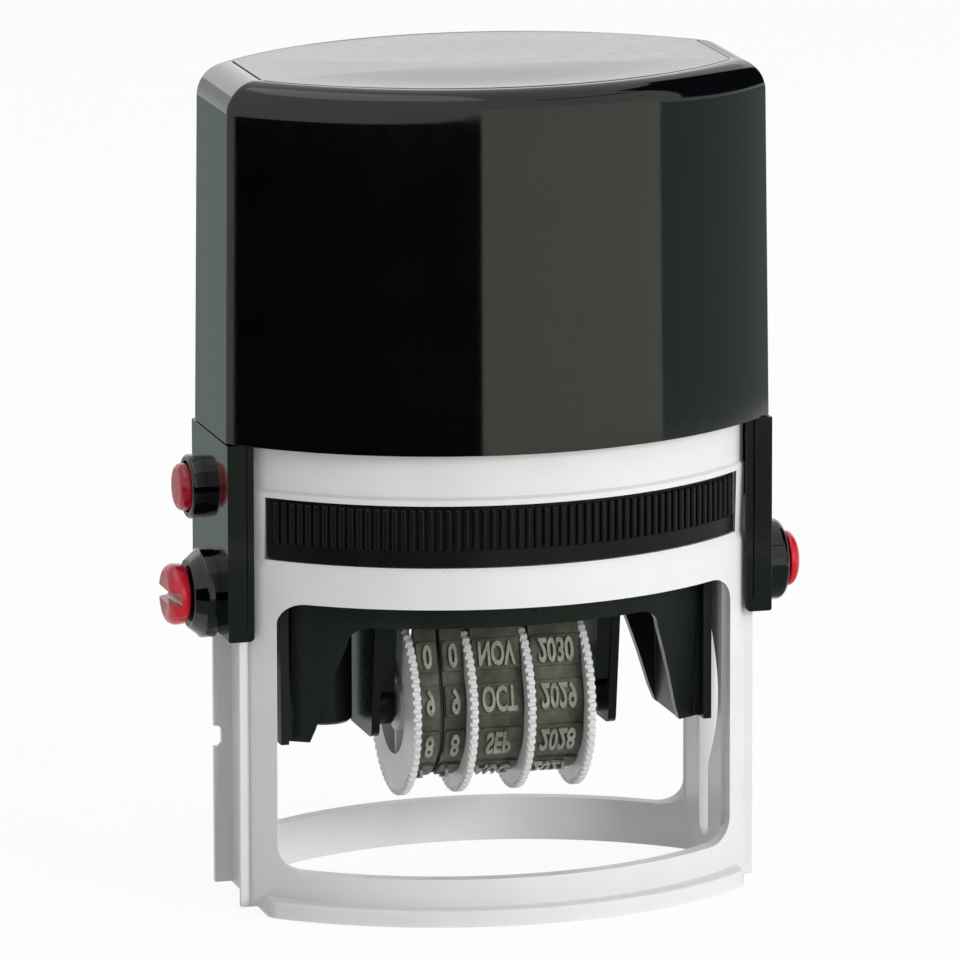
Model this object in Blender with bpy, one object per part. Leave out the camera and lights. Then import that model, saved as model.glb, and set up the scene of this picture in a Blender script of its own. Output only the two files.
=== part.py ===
"""Rotary date stamp: a self-inking oval stamp whose plate turns over as the handle comes down.

Metres, +Z up. X runs along the oval, -Y is the front. The origin is the middle of the foot.
"""
import math

import bmesh
import bpy
from mathutils import Matrix, Vector

# ---- clearances ----
GAP = 0.0003                      # between neighbouring pieces
RUN_GAP = 0.0004                  # around a shaft that turns or slides

# ---- frame: an oval between two arcs, cut off flat at the ends ----
FRAME_HALF_LENGTH = 0.0364
FRAME_APEX = 0.0254               # half depth at the middle
FRAME_RADIUS = 0.0484             # plan radius of the front and back walls
FRAME_WALL = 0.0021
FRAME_CORNER = 0.0010
FRAME_TOP = 0.0754
FRAME_LOW = 0.0006                # the walls end just above the foot's resting face
SIDE_INNER_X = 0.0330             # inner face of the end walls
SIDE_WALL = 0.0023
FOOT_APEX = 0.02794
FOOT_RADIUS = 0.05166
FOOT_HALF_LENGTH = 0.0352
FOOT_CORNER = 0.0030
FOOT_HEIGHT = 0.0024
FOOT_EDGE = 0.0005
SILL_TOP = 0.0063
WINDOW_TOP = 0.0453
WINDOW_HALF_WIDTH = 0.0334
WINDOW_CORNER = 0.0036
RIB_REACH_X = 0.03784             # outer edge of the guide ribs on the end walls
END_HALF_DEPTH = FRAME_APEX - FRAME_RADIUS + math.sqrt(FRAME_RADIUS ** 2 - FRAME_HALF_LENGTH ** 2)
RIB_Y = END_HALF_DEPTH - 0.0006   # outer side of the ribs
RIB_THICKNESS = 0.0010
RIB_TOP = 0.0560
NOTCH_LOW = 0.0202                # where the lock button drops in when the handle is down
NOTCH_HIGH = 0.0233
NOTCH_DEPTH = 0.0011
UPPER_SETBACK = 0.0006
LIP_HEIGHT = 0.0009
LEDGE_DROP = 0.0012
SLOT_EDGE = 0.0002
DECK_LOW = 0.0620                 # floor that carries the return spring
DECK_THICKNESS = 0.0016

# ---- ink cassette and its slot ----
SLOT_LOW = 0.05115
SLOT_HIGH = 0.0602
SLOT_HALF_WIDTH = 0.0342
CASSETTE_WALL = 0.0021
PAD_THICKNESS = 0.0046
GRIP_SMOOTH_STRIP = 0.0018
GRIP_RIBS = 56
GRIP_RIB_DEPTH = 0.0005
GRIP_END_DEPTH = 0.0007           # how far the grip plate reaches back at its two ends
CASSETTE_TRAVEL = 0.0450

# ---- axle, plate and stroke ----
AXLE_Z = 0.0446                   # at rest
AXLE_RADIUS = 0.0018
PLATE_REACH = 0.0064              # from the axle to the printing face
STROKE = AXLE_Z - PLATE_REACH     # the plate meets the paper at z = 0
CAM_SLOT_HALF_WIDTH = 0.0022
CAM_SLOT_BOTTOM = 0.0034
CAM_POCKET_LOW = 0.0155
CAM_POCKET_HIGH = 0.0380
CAM_POCKET_REACH = RIB_Y - 0.0007

# ---- plate carrier ----
CARRIER_HALF_LENGTH = SIDE_INNER_X - 0.0029
CARRIER_APEX = 0.0177
CARRIER_RADIUS = 0.0470
CARRIER_CORNER = 0.0010
CARRIER_WALL = 0.0018
CARRIER_ROOF = 0.0016
CARRIER_DEPTH = 0.0212            # from the axle down to the feet of its ends
LEG_INNER_X = 0.0274
ARCH_TOP_Z = 0.0421
ARCH_SPRING_X = 0.0225
CATCH_POST_X = -0.0228            # round post that hangs in the left end of the skirt
CATCH_POST_Y = 0.0030
CATCH_POST_RADIUS = 0.0041
CATCH_POST_LOW = 0.0243
CHEEK_SLIT = 0.0005
CHEEK_PLATE = 0.0012
CHEEK_HALF_DEPTH = 0.0080
CHEEK_WEB_HALF_DEPTH = 0.0060
TEXT_HALF_LENGTH = 0.0275
TEXT_HALF_DEPTH = 0.0172
TEXT_BACKING = 0.0008
TEXT_RELIEF = 0.0007
TEXT_RIM = 0.0008
DATE_WINDOW_X = 0.0146
DATE_WINDOW_Y = 0.0053

# ---- dater ----
WHEEL_DROP = 0.0178               # wheel shaft below the axle
WHEEL_RADIUS = 0.0133
WHEEL_TEETH = 66
TOOTH_DEPTH = 0.0006
WHEEL_THICKNESS = 0.0011
DRUM_RADIUS = 0.0090
SHAFT_RADIUS = 0.0015
BAND_THICKNESS = 0.0010
TYPE_HEIGHT = 0.0008
TYPE_PITCH = 0.00644
TYPE_LENGTH = 0.0045              # of a block along the band
TYPE_PER_SIDE = 6                 # blocks on each side of the one that prints
PLATEN_HALF_DEPTH = 0.0032
PLATEN_EDGE = 0.0007
PLATEN_THICKNESS = 0.0019
CHEEK_INNER_X = 0.0161
CHEEK_THICKNESS = 0.0020
CHEEK_FOOT_HALF_DEPTH = 0.0060
CHEEK_TOP_HALF_DEPTH = 0.0086
CHEEK_RECESS = 0.0010
CHEEK_RECESS_TOP = 0.0300
CHEEK_FOOT_DROP = 0.0213
# for each band: the toothed disc's middle, then the band's low and high edge in X
DATER_TRACKS = (
    ("1", -0.0125, -0.0119, -0.0089),
    ("2", -0.0043, -0.0084, -0.0052),
    ("3", 0.0043, -0.0033, 0.0034),
    ("4", 0.0132, 0.0052, 0.0123),
)

# ---- handle: hood, cover, yoke ----
HOOD_HALF_LENGTH = 0.0399
HOOD_APEX = 0.0279
HOOD_RADIUS = 0.0521
HOOD_CORNER = 0.0009
HOOD_LOW = 0.06784
HOOD_TOP = 0.1194
HOOD_DRAFT_LENGTH = 0.0006        # narrowing of the half length to the top
HOOD_DRAFT_APEX = 0.0008
HOOD_WALL = 0.0014
HOOD_ROOF = 0.0016
HOOD_END_ROUND = 0.0047           # rounding over the ends
HOOD_FRONT_ROUND = 0.0026         # rounding over the front and back
COVER_HALF_LENGTH = 0.0341
COVER_APEX = 0.0239
COVER_RADIUS = 0.0465
COVER_CORNER = 0.0012
COVER_THICKNESS = 0.0011
COVER_RIM = 0.0003                # how far the cover lies below the hood's rim
YOKE_OUTER_X = 0.0400
YOKE_PLATE = 0.0019
YOKE_HALF_DEPTH = 0.0107
YOKE_FLANGE = 0.0020
YOKE_LOW = 0.0394
YOKE_CORNER = 0.0009
TONGUE_INNER_X = 0.0357
TONGUE_HALF_DEPTH = RIB_Y - RIB_THICKNESS - 0.0005
TONGUE_LOW = 0.0600
BRIDGE_THICKNESS = 0.0018
BRIDGE_HALF_DEPTH = 0.0080

# ---- return spring ----
SPRING_RADIUS = 0.0060
SPRING_WIRE = 0.0006
SPRING_TURNS = 9
SPRING_POINTS_PER_TURN = 10
SPRING_POST_RADIUS = 0.0042
SPRING_POST_HEIGHT = 0.0048
SPRING_GUIDE_HEIGHT = 0.0040

# ---- bushes, red pins and lock ----
BUSH_RADIUS = 0.0064
BUSH_NOSE_RADIUS = 0.0048
BUSH_FLAT = 0.0016
BUSH_HEIGHT = 0.0032
BUSH_NECK_RADIUS = 0.0034
KNOB_RADIUS = 0.0043
KNOB_HEIGHT = 0.0030
COIN_SLOT_WIDTH = 0.0023
COIN_SLOT_DEPTH = 0.0013
RIGHT_BUSH_RADIUS = 0.0058
RIGHT_BUSH_HEIGHT = 0.0043
RIGHT_CAP_RADIUS = 0.0040
RIGHT_CAP_HEIGHT = 0.0021
PIN_END_X = 0.0277
LOCK_Y = 0.0060
LOCK_Z = 0.0588
LOCK_COLLAR_RADIUS = 0.0046
LOCK_COLLAR_HEIGHT = 0.0018
LOCK_BUTTON_RADIUS = 0.0034
LOCK_BUTTON_HEIGHT = 0.0036
LOCK_STEM_RADIUS = 0.0024
LOCK_TRAVEL = 0.0010

# ---- colours ----
BLACK_GLOSS = ("black_gloss", (0.012, 0.013, 0.014), 0.12, 0.0)
BLACK_SATIN = ("black_satin", (0.018, 0.020, 0.020), 0.32, 0.0)
LIGHT_GREY = ("light_grey", (0.74, 0.74, 0.73), 0.42, 0.0)
SIGNAL_RED = ("signal_red", (0.62, 0.012, 0.022), 0.22, 0.0)
BAND_GREY = ("band_grey", (0.30, 0.30, 0.25), 0.62, 0.0)
WHEEL_WHITE = ("wheel_white", (0.76, 0.77, 0.77), 0.40, 0.0)
INK_FELT = ("ink_felt", (0.02, 0.02, 0.05), 0.95, 0.0)
PLATE_RUBBER = ("plate_rubber", (0.22, 0.12, 0.10), 0.60, 0.0)
SPRING_STEEL = ("spring_steel", (0.60, 0.60, 0.60), 0.30, 1.0)

ARC_STEPS = 14
CORNER_STEPS = 2
ROUND_STEPS = 32
SMOOTH_ANGLE = math.radians(35)


# ---------------------------------------------------------------- helpers
def clear_scene():
    for obj in list(bpy.data.objects):
        bpy.data.objects.remove(obj, do_unlink=True)


def material(spec):
    name, colour, roughness, metallic = spec
    found = bpy.data.materials.get(name)
    if found:
        return found
    made = bpy.data.materials.new(name)
    made.use_nodes = True
    shader = made.node_tree.nodes["Principled BSDF"]
    shader.inputs["Base Color"].default_value = (*colour, 1.0)
    shader.inputs["Roughness"].default_value = roughness
    shader.inputs["Metallic"].default_value = metallic
    return made


def finish(name, bm, spec=None, parent=None):
    """Turn a bmesh into an object that keeps its world place under its parent."""
    bmesh.ops.recalc_face_normals(bm, faces=bm.faces)
    if bm.calc_volume(signed=True) < 0:
        bmesh.ops.reverse_faces(bm, faces=bm.faces)
    mesh = bpy.data.meshes.new(name)
    bm.to_mesh(mesh)
    bm.free()
    obj = bpy.data.objects.new(name, mesh)
    bpy.context.scene.collection.objects.link(obj)
    if spec:
        mesh.materials.append(material(spec))
        mesh.shade_smooth()
        mesh.set_sharp_from_angle(angle=SMOOTH_ANGLE)
    if parent:
        place = parent.matrix_world.translation
        mesh.transform(Matrix.Translation(-place))
        obj.parent = parent
    return obj


def joint_empty(name, place, parent=None):
    empty = bpy.data.objects.new(name, None)
    bpy.context.scene.collection.objects.link(empty)
    if parent:
        empty.parent = parent
        empty.location = Vector(place) - parent.matrix_world.translation
    else:
        empty.location = place
    bpy.context.view_layer.update()
    return empty


def shape(target, tool, operation):
    """Cut a tool out of a target, or join it on; the tool itself is only a guide."""
    tool.hide_render = True
    tool.display_type = "WIRE"
    modifier = target.modifiers.new(operation.lower() + "_" + tool.name, "BOOLEAN")
    modifier.operation = operation
    modifier.solver = "EXACT"
    modifier.object = tool


def cut(target, tool):
    shape(target, tool, "DIFFERENCE")


def join(target, tool):
    shape(target, tool, "UNION")


def oval(half_length, apex, radius, corner):
    """Plan outline between two arcs and two flat ends, its corners rounded; CCW from the front."""
    centre_y = radius - apex
    corner_x = half_length - corner
    corner_y = centre_y - math.sqrt((radius - corner) ** 2 - corner_x ** 2)
    start = math.atan2(corner_y - centre_y, corner_x)
    quarter = []
    for step in range(ARC_STEPS + 1):
        angle = -math.pi / 2 + (start + math.pi / 2) * step / ARC_STEPS
        quarter.append((radius * math.cos(angle), centre_y + radius * math.sin(angle)))
    for step in range(1, CORNER_STEPS + 1):
        angle = start * (1 - step / CORNER_STEPS)
        quarter.append((corner_x + corner * math.cos(angle), corner_y + corner * math.sin(angle)))
    right = quarter + [(x, -y) for x, y in reversed(quarter)]
    left = [(-x, y) for x, y in reversed(right)]
    return right + left[1:-1]


def ellipse(half_length, half_depth, steps=48):
    return [(half_length * math.cos(2 * math.pi * s / steps),
             half_depth * math.sin(2 * math.pi * s / steps)) for s in range(steps)]


def rounded_rectangle(low_a, low_b, high_a, high_b, corner, steps=3):
    """Outline in two coordinates, with quarter rounds at its four corners."""
    outline = []
    corners = ((high_a - corner, high_b - corner, 0), (low_a + corner, high_b - corner, 1),
               (low_a + corner, low_b + corner, 2), (high_a - corner, low_b + corner, 3))
    for centre_a, centre_b, turn in corners:
        for step in range(steps + 1):
            angle = math.pi / 2 * (turn + step / steps)
            outline.append((centre_a + corner * math.cos(angle), centre_b + corner * math.sin(angle)))
    return outline


def ring(bm, points):
    return [bm.verts.new(point) for point in points]


def loft(bm, sections, closed=False):
    """Skin a run of rings of equal count; capped at both ends, or closed on itself."""
    rings = [ring(bm, points) for points in sections]
    pairs = list(zip(rings, rings[1:]))
    if closed:
        pairs.append((rings[-1], rings[0]))
    for low, high in pairs:
        for i in range(len(low)):
            bm.faces.new((low[i - 1], low[i], high[i], high[i - 1]))
    if not closed:
        bm.faces.new(rings[0])
        bm.faces.new(rings[-1])


def level(outline, z):
    return [(x, y, z) for x, y in outline]


def prism(outline, low, high, axis="Z"):
    """A solid with this outline between two heights along an axis."""
    place = {
        "X": lambda a, b, c: (c, a, b),
        "Y": lambda a, b, c: (a, c, b),
        "Z": lambda a, b, c: (a, b, c),
    }[axis]
    bm = bmesh.new()
    loft(bm, [[place(a, b, c) for a, b in outline] for c in (low, high)])
    return bm


def box(low, high):
    bm = bmesh.new()
    bmesh.ops.create_cube(bm, size=1.0)
    size = [b - a for a, b in zip(low, high)]
    middle = [(a + b) / 2 for a, b in zip(low, high)]
    bmesh.ops.scale(bm, vec=size, verts=bm.verts)
    bmesh.ops.translate(bm, vec=middle, verts=bm.verts)
    return bm


def turned(profile, y, z, steps=ROUND_STEPS, closed=False):
    """A solid turned about a line along X; the profile is (x, radius) from end to end."""
    bm = bmesh.new()
    line = [bm.verts.new((x, y, z + radius)) for x, radius in profile]
    edges = [bm.edges.new(pair) for pair in zip(line, line[1:])]
    if closed:
        edges.append(bm.edges.new((line[-1], line[0])))
    bmesh.ops.spin(bm, geom=line + edges, cent=(0, y, z), axis=(1, 0, 0), angle=2 * math.pi,
                   steps=steps, use_merge=True, use_duplicate=False)
    bmesh.ops.holes_fill(bm, edges=[edge for edge in bm.edges if edge.is_boundary], sides=0)
    return bm


# ---------------------------------------------------------------- base frame
def frame_wall(setback=0.0, at_z=0.0):
    return level(oval(FRAME_HALF_LENGTH, FRAME_APEX - setback, FRAME_RADIUS - setback, FRAME_CORNER), at_z)


def frame_inside(at_z):
    return level(oval(SIDE_INNER_X, FRAME_APEX - FRAME_WALL, FRAME_RADIUS - FRAME_WALL, FRAME_CORNER), at_z)


def make_base_frame():
    bm = bmesh.new()
    lip_top = SLOT_HIGH + LIP_HEIGHT
    loft(bm, [
        frame_wall(0, FRAME_LOW),
        frame_wall(0, SLOT_LOW - LEDGE_DROP),
        frame_wall(UPPER_SETBACK, SLOT_LOW - SLOT_EDGE),
        frame_wall(UPPER_SETBACK, SLOT_LOW + SLOT_EDGE),
        frame_wall(0, SLOT_HIGH - SLOT_EDGE),
        frame_wall(0, lip_top),
        frame_wall(UPPER_SETBACK, lip_top + GAP),
        frame_wall(UPPER_SETBACK, FRAME_TOP),
        frame_inside(FRAME_TOP),
        frame_inside(FRAME_LOW),
    ], closed=True)
    frame = finish("base_frame", bm, LIGHT_GREY)

    foot = bmesh.new()
    inner = oval(SIDE_INNER_X + SIDE_WALL / 2, FRAME_APEX - FRAME_WALL / 2, FRAME_RADIUS - FRAME_WALL / 2,
                 FRAME_CORNER)
    rim = oval(FOOT_HALF_LENGTH, FOOT_APEX, FOOT_RADIUS, FOOT_CORNER)
    rim_top = oval(FOOT_HALF_LENGTH - FOOT_EDGE, FOOT_APEX - FOOT_EDGE, FOOT_RADIUS - FOOT_EDGE, FOOT_CORNER)
    loft(foot, [level(rim, 0), level(rim, FOOT_HEIGHT - FOOT_EDGE), level(rim_top, FOOT_HEIGHT),
                level(inner, FOOT_HEIGHT), level(inner, 0)], closed=True)
    join(frame, finish("guide_foot", foot))

    side_outer = SIDE_INNER_X + SIDE_WALL
    for side in (-1, 1):
        name = "left" if side < 0 else "right"
        low, high = sorted((side * side_outer, side * (RIB_REACH_X + FRAME_WALL)))
        rib_inside = RIB_Y - RIB_THICKNESS
        for front in (-1, 1):
            y_low, y_high = sorted((front * (rib_inside - GAP), front * RIB_Y))
            x_low, x_high = sorted((side * (side_outer - SIDE_WALL / 3), side * RIB_REACH_X))
            rib = finish("guide_rib_%s_%s" % (name, "front" if front < 0 else "back"),
                         box((x_low, y_low, FRAME_LOW / 2), (x_high, y_high, RIB_TOP)))
            join(frame, rib)
        recess = box((low, -rib_inside, -FRAME_LOW), (high, rib_inside, FRAME_TOP + FRAME_WALL))
        cut(frame, finish("guide_recess_" + name, recess))
    notch = box((-RIB_REACH_X - 0.001, 0, NOTCH_LOW),
                (-RIB_REACH_X + NOTCH_DEPTH, RIB_Y + 0.0005, NOTCH_HIGH))
    cut(frame, finish("guide_notch", notch))

    window = rounded_rectangle(-WINDOW_HALF_WIDTH, SILL_TOP, WINDOW_HALF_WIDTH, WINDOW_TOP, WINDOW_CORNER)
    for front in (-1, 1):
        low, high = sorted((front * (RIB_Y + 0.0014), front * (FOOT_APEX + FRAME_WALL)))
        name = "front" if front < 0 else "back"
        cut(frame, finish("guide_window_" + name, prism(window, low, high, "Y")))
        if front < 0:
            half_width = SLOT_HALF_WIDTH
        else:
            half_width = SIDE_INNER_X - GAP
        slot = box((-half_width, low, SLOT_LOW), (half_width, high, SLOT_HIGH))
        cut(frame, finish("guide_slot_" + name, slot))

    cut(frame, finish("guide_cam", cam_cutter()))

    deck = bmesh.new()
    rim_in = oval(SIDE_INNER_X + SIDE_WALL / 2, FRAME_APEX - FRAME_WALL / 2, FRAME_RADIUS - FRAME_WALL / 2,
                  FRAME_CORNER)
    loft(deck, [level(rim_in, DECK_LOW), level(rim_in, DECK_LOW + DECK_THICKNESS)])
    join(frame, finish("guide_deck", deck))
    post = bmesh.new()
    deck_top = DECK_LOW + DECK_THICKNESS
    post_levels = (DECK_LOW + DECK_THICKNESS / 2, deck_top + SPRING_POST_HEIGHT)
    loft(post, [circle_z(SPRING_POST_RADIUS, z) for z in post_levels])
    join(frame, finish("guide_post", post))

    runner_top = SLOT_LOW
    for side in (-1, 1):
        low, high = sorted((side * (SIDE_INNER_X - 0.0010), side * (SIDE_INNER_X + 0.0005)))
        runner = box((low, -RIB_Y, runner_top - 0.0012), (high, RIB_Y, runner_top))
        join(frame, finish("guide_runner_%s" % ("left" if side < 0 else "right"), runner))
    return frame


def circle_z(radius, z, steps=24):
    return [(radius * math.cos(2 * math.pi * s / steps), radius * math.sin(2 * math.pi * s / steps), z)
            for s in range(steps)]


def cam_cutter():
    """Straight slot for the axle pins with a leaf-shaped pocket towards the front."""
    half = CAM_SLOT_HALF_WIDTH
    top = AXLE_Z + half + RUN_GAP
    outline = []
    for step in range(9):
        angle = math.pi * step / 8
        outline.append((half * math.cos(angle), top - half + half * math.sin(angle)))
    middle = (CAM_POCKET_LOW + CAM_POCKET_HIGH) / 2
    for step in range(11):
        share = step / 10
        z = CAM_POCKET_HIGH + (CAM_POCKET_LOW - CAM_POCKET_HIGH) * share
        spread = math.sin(math.pi * share)
        outline.append((-half - (CAM_POCKET_REACH - half) * spread, z))
    for step in range(9):
        angle = math.pi + math.pi * step / 8
        outline.append((half * math.cos(angle), CAM_SLOT_BOTTOM + half + half * math.sin(angle)))
    beyond = RIB_REACH_X + FRAME_WALL
    return prism(outline, -beyond, beyond, "X")


# ---------------------------------------------------------------- ink cassette
def make_cassette(body):
    low = SLOT_LOW + GAP
    high = SLOT_HIGH - GAP
    half_length = SIDE_INNER_X - GAP
    back = oval(half_length - GAP, FRAME_APEX - UPPER_SETBACK, FRAME_RADIUS - UPPER_SETBACK, FRAME_CORNER)
    bm = bmesh.new()
    loft(bm, [level(back, low), level(back, high)])
    cassette = finish("pad_cassette", bm, BLACK_SATIN, body)
    grip_half = SLOT_HALF_WIDTH - GAP
    grip_base = oval(grip_half, FRAME_APEX - GRIP_RIB_DEPTH, FRAME_RADIUS - GRIP_RIB_DEPTH, FRAME_CORNER)
    grip_radius = FRAME_RADIUS - GRIP_RIB_DEPTH
    grip_end = FRAME_APEX - FRAME_RADIUS + math.sqrt(grip_radius ** 2 - grip_half ** 2)
    front_only = [(x, min(y, GRIP_END_DEPTH - grip_end)) for x, y in grip_base]
    front_plate = bmesh.new()
    loft(front_plate, [level(front_only, low), level(front_only, high)])
    join(cassette, finish("guide_grip_plate", front_plate))
    join(cassette, finish("guide_grip_ribs", grip_ribs(low + GRIP_SMOOTH_STRIP, high - GAP)))
    pocket_top = high - CASSETTE_WALL
    inner = oval(half_length - CASSETTE_WALL, FRAME_APEX - FRAME_WALL - CASSETTE_WALL,
                 FRAME_RADIUS - FRAME_WALL - CASSETTE_WALL, FRAME_CORNER)
    pocket = bmesh.new()
    loft(pocket, [level(inner, low - 0.001), level(inner, pocket_top)])
    cut(cassette, finish("guide_pad_pocket", pocket))

    pad_outline = oval(half_length - CASSETTE_WALL - GAP, FRAME_APEX - FRAME_WALL - CASSETTE_WALL - GAP,
                       FRAME_RADIUS - FRAME_WALL - CASSETTE_WALL - GAP, FRAME_CORNER)
    pad = bmesh.new()
    pad_top = pocket_top - GAP
    loft(pad, [level(pad_outline, pad_top - PAD_THICKNESS), level(pad_outline, pad_top)])
    finish("ink_pad", pad, INK_FELT, body)


def grip_ribs(low, high):
    """A curved comb along the front: upright ribs with square gaps."""
    base = FRAME_RADIUS - GRIP_RIB_DEPTH
    root = base - 0.0004
    tip = FRAME_RADIUS
    centre_y = FRAME_RADIUS - FRAME_APEX
    half_angle = math.asin((SLOT_HALF_WIDTH - 0.0012) / FRAME_RADIUS)
    outer = []
    for rib in range(GRIP_RIBS):
        start = -half_angle + 2 * half_angle * rib / GRIP_RIBS
        pitch = 2 * half_angle / GRIP_RIBS
        for share, radius in ((0.0, base), (0.14, tip), (0.52, tip), (0.66, base)):
            angle = start + pitch * share
            outer.append((radius * math.sin(angle), centre_y - radius * math.cos(angle)))
    inner = []
    for step in range(ARC_STEPS + 1):
        angle = half_angle - 2 * half_angle * step / ARC_STEPS
        inner.append((root * math.sin(angle), centre_y - root * math.cos(angle)))
    return prism(outer + inner, low, high)


# ---------------------------------------------------------------- plate carrier
def make_carrier(body):
    feet = AXLE_Z - CARRIER_DEPTH
    roof = AXLE_Z + PLATE_REACH - TEXT_BACKING - TEXT_RELIEF - GAP
    outer = oval(CARRIER_HALF_LENGTH, CARRIER_APEX, CARRIER_RADIUS, CARRIER_CORNER)
    bm = bmesh.new()
    loft(bm, [level(outer, feet), level(outer, roof)])
    carrier = finish("plate_carrier", bm, BLACK_SATIN, body)
    inner = oval(LEG_INNER_X, CARRIER_APEX - CARRIER_WALL, CARRIER_RADIUS - CARRIER_WALL, CARRIER_CORNER)
    hollow = bmesh.new()
    loft(hollow, [level(inner, feet - 0.001), level(inner, roof - CARRIER_ROOF)])
    cut(carrier, finish("guide_carrier_hollow", hollow))
    cut(carrier, finish("guide_arch", prism(arch_outline(feet), -2 * CARRIER_APEX, 2 * CARRIER_APEX, "Y")))
    opening = box((-CHEEK_INNER_X - CHEEK_THICKNESS - GAP, -CHEEK_TOP_HALF_DEPTH - GAP, roof - 0.004),
                  (CHEEK_INNER_X + CHEEK_THICKNESS + GAP, CHEEK_TOP_HALF_DEPTH + GAP, roof + 0.001))
    cut(carrier, finish("guide_date_opening", opening))
    for side in (-1, 1):
        name = "left" if side < 0 else "right"
        slit = CARRIER_HALF_LENGTH + CHEEK_SLIT
        low, high = sorted((side * (CARRIER_HALF_LENGTH - 0.0005), side * (slit + 0.0002)))
        web = box((low, -CHEEK_WEB_HALF_DEPTH, feet + 0.0002), (high, CHEEK_WEB_HALF_DEPTH, roof - 0.0002))
        join(carrier, finish("guide_web_" + name, web))
        low, high = sorted((side * slit, side * (slit + CHEEK_PLATE)))
        plate = box((low, -CHEEK_HALF_DEPTH, feet + 0.0001), (high, CHEEK_HALF_DEPTH, roof - 0.0001))
        join(carrier, finish("guide_cheek_" + name, plate))
    bore = turned([(-YOKE_OUTER_X, AXLE_RADIUS + RUN_GAP), (YOKE_OUTER_X, AXLE_RADIUS + RUN_GAP)], 0, AXLE_Z)
    cut(carrier, finish("guide_axle_bore", bore))
    post = bmesh.new()
    loft(post, [[(x + CATCH_POST_X, y + CATCH_POST_Y, z) for x, y, z in circle_z(CATCH_POST_RADIUS, height, 20)]
                for height in (CATCH_POST_LOW, roof - CARRIER_ROOF / 2)])
    join(carrier, finish("guide_catch_post", post))
    make_text_plate(body)


def arch_outline(feet):
    """Arch through the front and back of the skirt, wider at the feet."""
    half = [(LEG_INNER_X, feet - 0.001), (LEG_INNER_X, feet)]
    rise = ARCH_TOP_Z - feet
    for step in range(1, 7):
        share = step / 7
        sweep = math.sin(math.pi / 2 * share)
        x = LEG_INNER_X - (LEG_INNER_X - ARCH_SPRING_X) * share ** 1.2
        half.append((x, feet + (rise - 0.003) * (0.35 * share + 0.65 * sweep)))
    half.append((ARCH_SPRING_X - 0.0012, ARCH_TOP_Z - 0.0010))
    half.append((ARCH_SPRING_X - 0.0040, ARCH_TOP_Z))
    return half + [(-x, z) for x, z in reversed(half)]


def make_text_plate(body):
    face = AXLE_Z + PLATE_REACH
    back = face - TEXT_RELIEF - TEXT_BACKING
    bm = bmesh.new()
    loft(bm, [level(ellipse(TEXT_HALF_LENGTH, TEXT_HALF_DEPTH), back),
              level(ellipse(TEXT_HALF_LENGTH, TEXT_HALF_DEPTH), face)])
    plate = finish("text_plate", bm, PLATE_RUBBER, body)
    sunk = bmesh.new()
    loft(sunk, [level(ellipse(TEXT_HALF_LENGTH - TEXT_RIM, TEXT_HALF_DEPTH - TEXT_RIM), z)
                for z in (face - TEXT_RELIEF, face + 0.001)])
    cut(plate, finish("guide_plate_field", sunk))
    for row, half_width in ((0.0122, 0.0120), (0.0086, 0.0180)):
        for side in (-1, 1):
            low, high = sorted((side * row - 0.0011, side * row + 0.0011))
            line = box((-half_width, low, face - TEXT_RELIEF - 0.0002), (half_width, high, face))
            join(plate, finish("guide_print_line", line))
    window = box((-DATE_WINDOW_X, -DATE_WINDOW_Y, back - 0.001), (DATE_WINDOW_X, DATE_WINDOW_Y, face + 0.001))
    cut(plate, finish("guide_date_window", window))


# ---------------------------------------------------------------- dater
def wheel_z():
    return AXLE_Z - WHEEL_DROP


def belt_run():
    """Lengths along half the belt: over the platen, round its edge, down the straight, round the drum."""
    hub_radius = DRUM_RADIUS + GAP + BAND_THICKNESS
    edge_radius = PLATEN_EDGE + GAP + BAND_THICKNESS
    edge_y = PLATEN_HALF_DEPTH - PLATEN_EDGE
    edge_z = platen_top() - PLATEN_EDGE
    run = math.hypot(edge_y, edge_z - wheel_z())
    tangent = math.atan2(edge_z - wheel_z(), edge_y) - math.acos((hub_radius - edge_radius) / run)
    straight = math.sqrt(run ** 2 - (hub_radius - edge_radius) ** 2)
    bend = edge_radius * (math.pi / 2 - tangent)
    return tangent, (edge_y, bend, straight, hub_radius * (tangent + math.pi / 2))


def belt_point(path, offset):
    """A point on the belt, a distance along it from the middle of its top, on either side."""
    hub = wheel_z()
    edge_y = PLATEN_HALF_DEPTH - PLATEN_EDGE
    edge_z = platen_top() - PLATEN_EDGE
    hub_radius = DRUM_RADIUS + GAP + BAND_THICKNESS
    edge_radius = PLATEN_EDGE + GAP + BAND_THICKNESS
    tangent, (top, bend, straight, wrap) = belt_run()
    half = top + bend + straight + wrap
    path = path % (2 * half)
    mirrored = path > half
    if mirrored:
        path = 2 * half - path
    if path < top:
        y, z, normal = path, edge_z + edge_radius, math.pi / 2
    elif path < top + bend:
        normal = math.pi / 2 - (path - top) / edge_radius
        y = edge_y + edge_radius * math.cos(normal)
        z = edge_z + edge_radius * math.sin(normal)
    elif path < top + bend + straight:
        normal = tangent
        share = (path - top - bend) / straight
        y = ((edge_y + edge_radius * math.cos(normal)) * (1 - share)
             + hub_radius * math.cos(normal) * share)
        z = ((edge_z + edge_radius * math.sin(normal)) * (1 - share)
             + (hub + hub_radius * math.sin(normal)) * share)
    else:
        normal = tangent - (path - top - bend - straight) / hub_radius
        y = hub_radius * math.cos(normal)
        z = hub + hub_radius * math.sin(normal)
    y += offset * math.cos(normal)
    z += offset * math.sin(normal)
    return (-y if mirrored else y), z


def platen_top():
    """The type faces lie level with the printing plate's face."""
    return AXLE_Z + PLATE_REACH - TYPE_HEIGHT - BAND_THICKNESS - GAP


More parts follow.
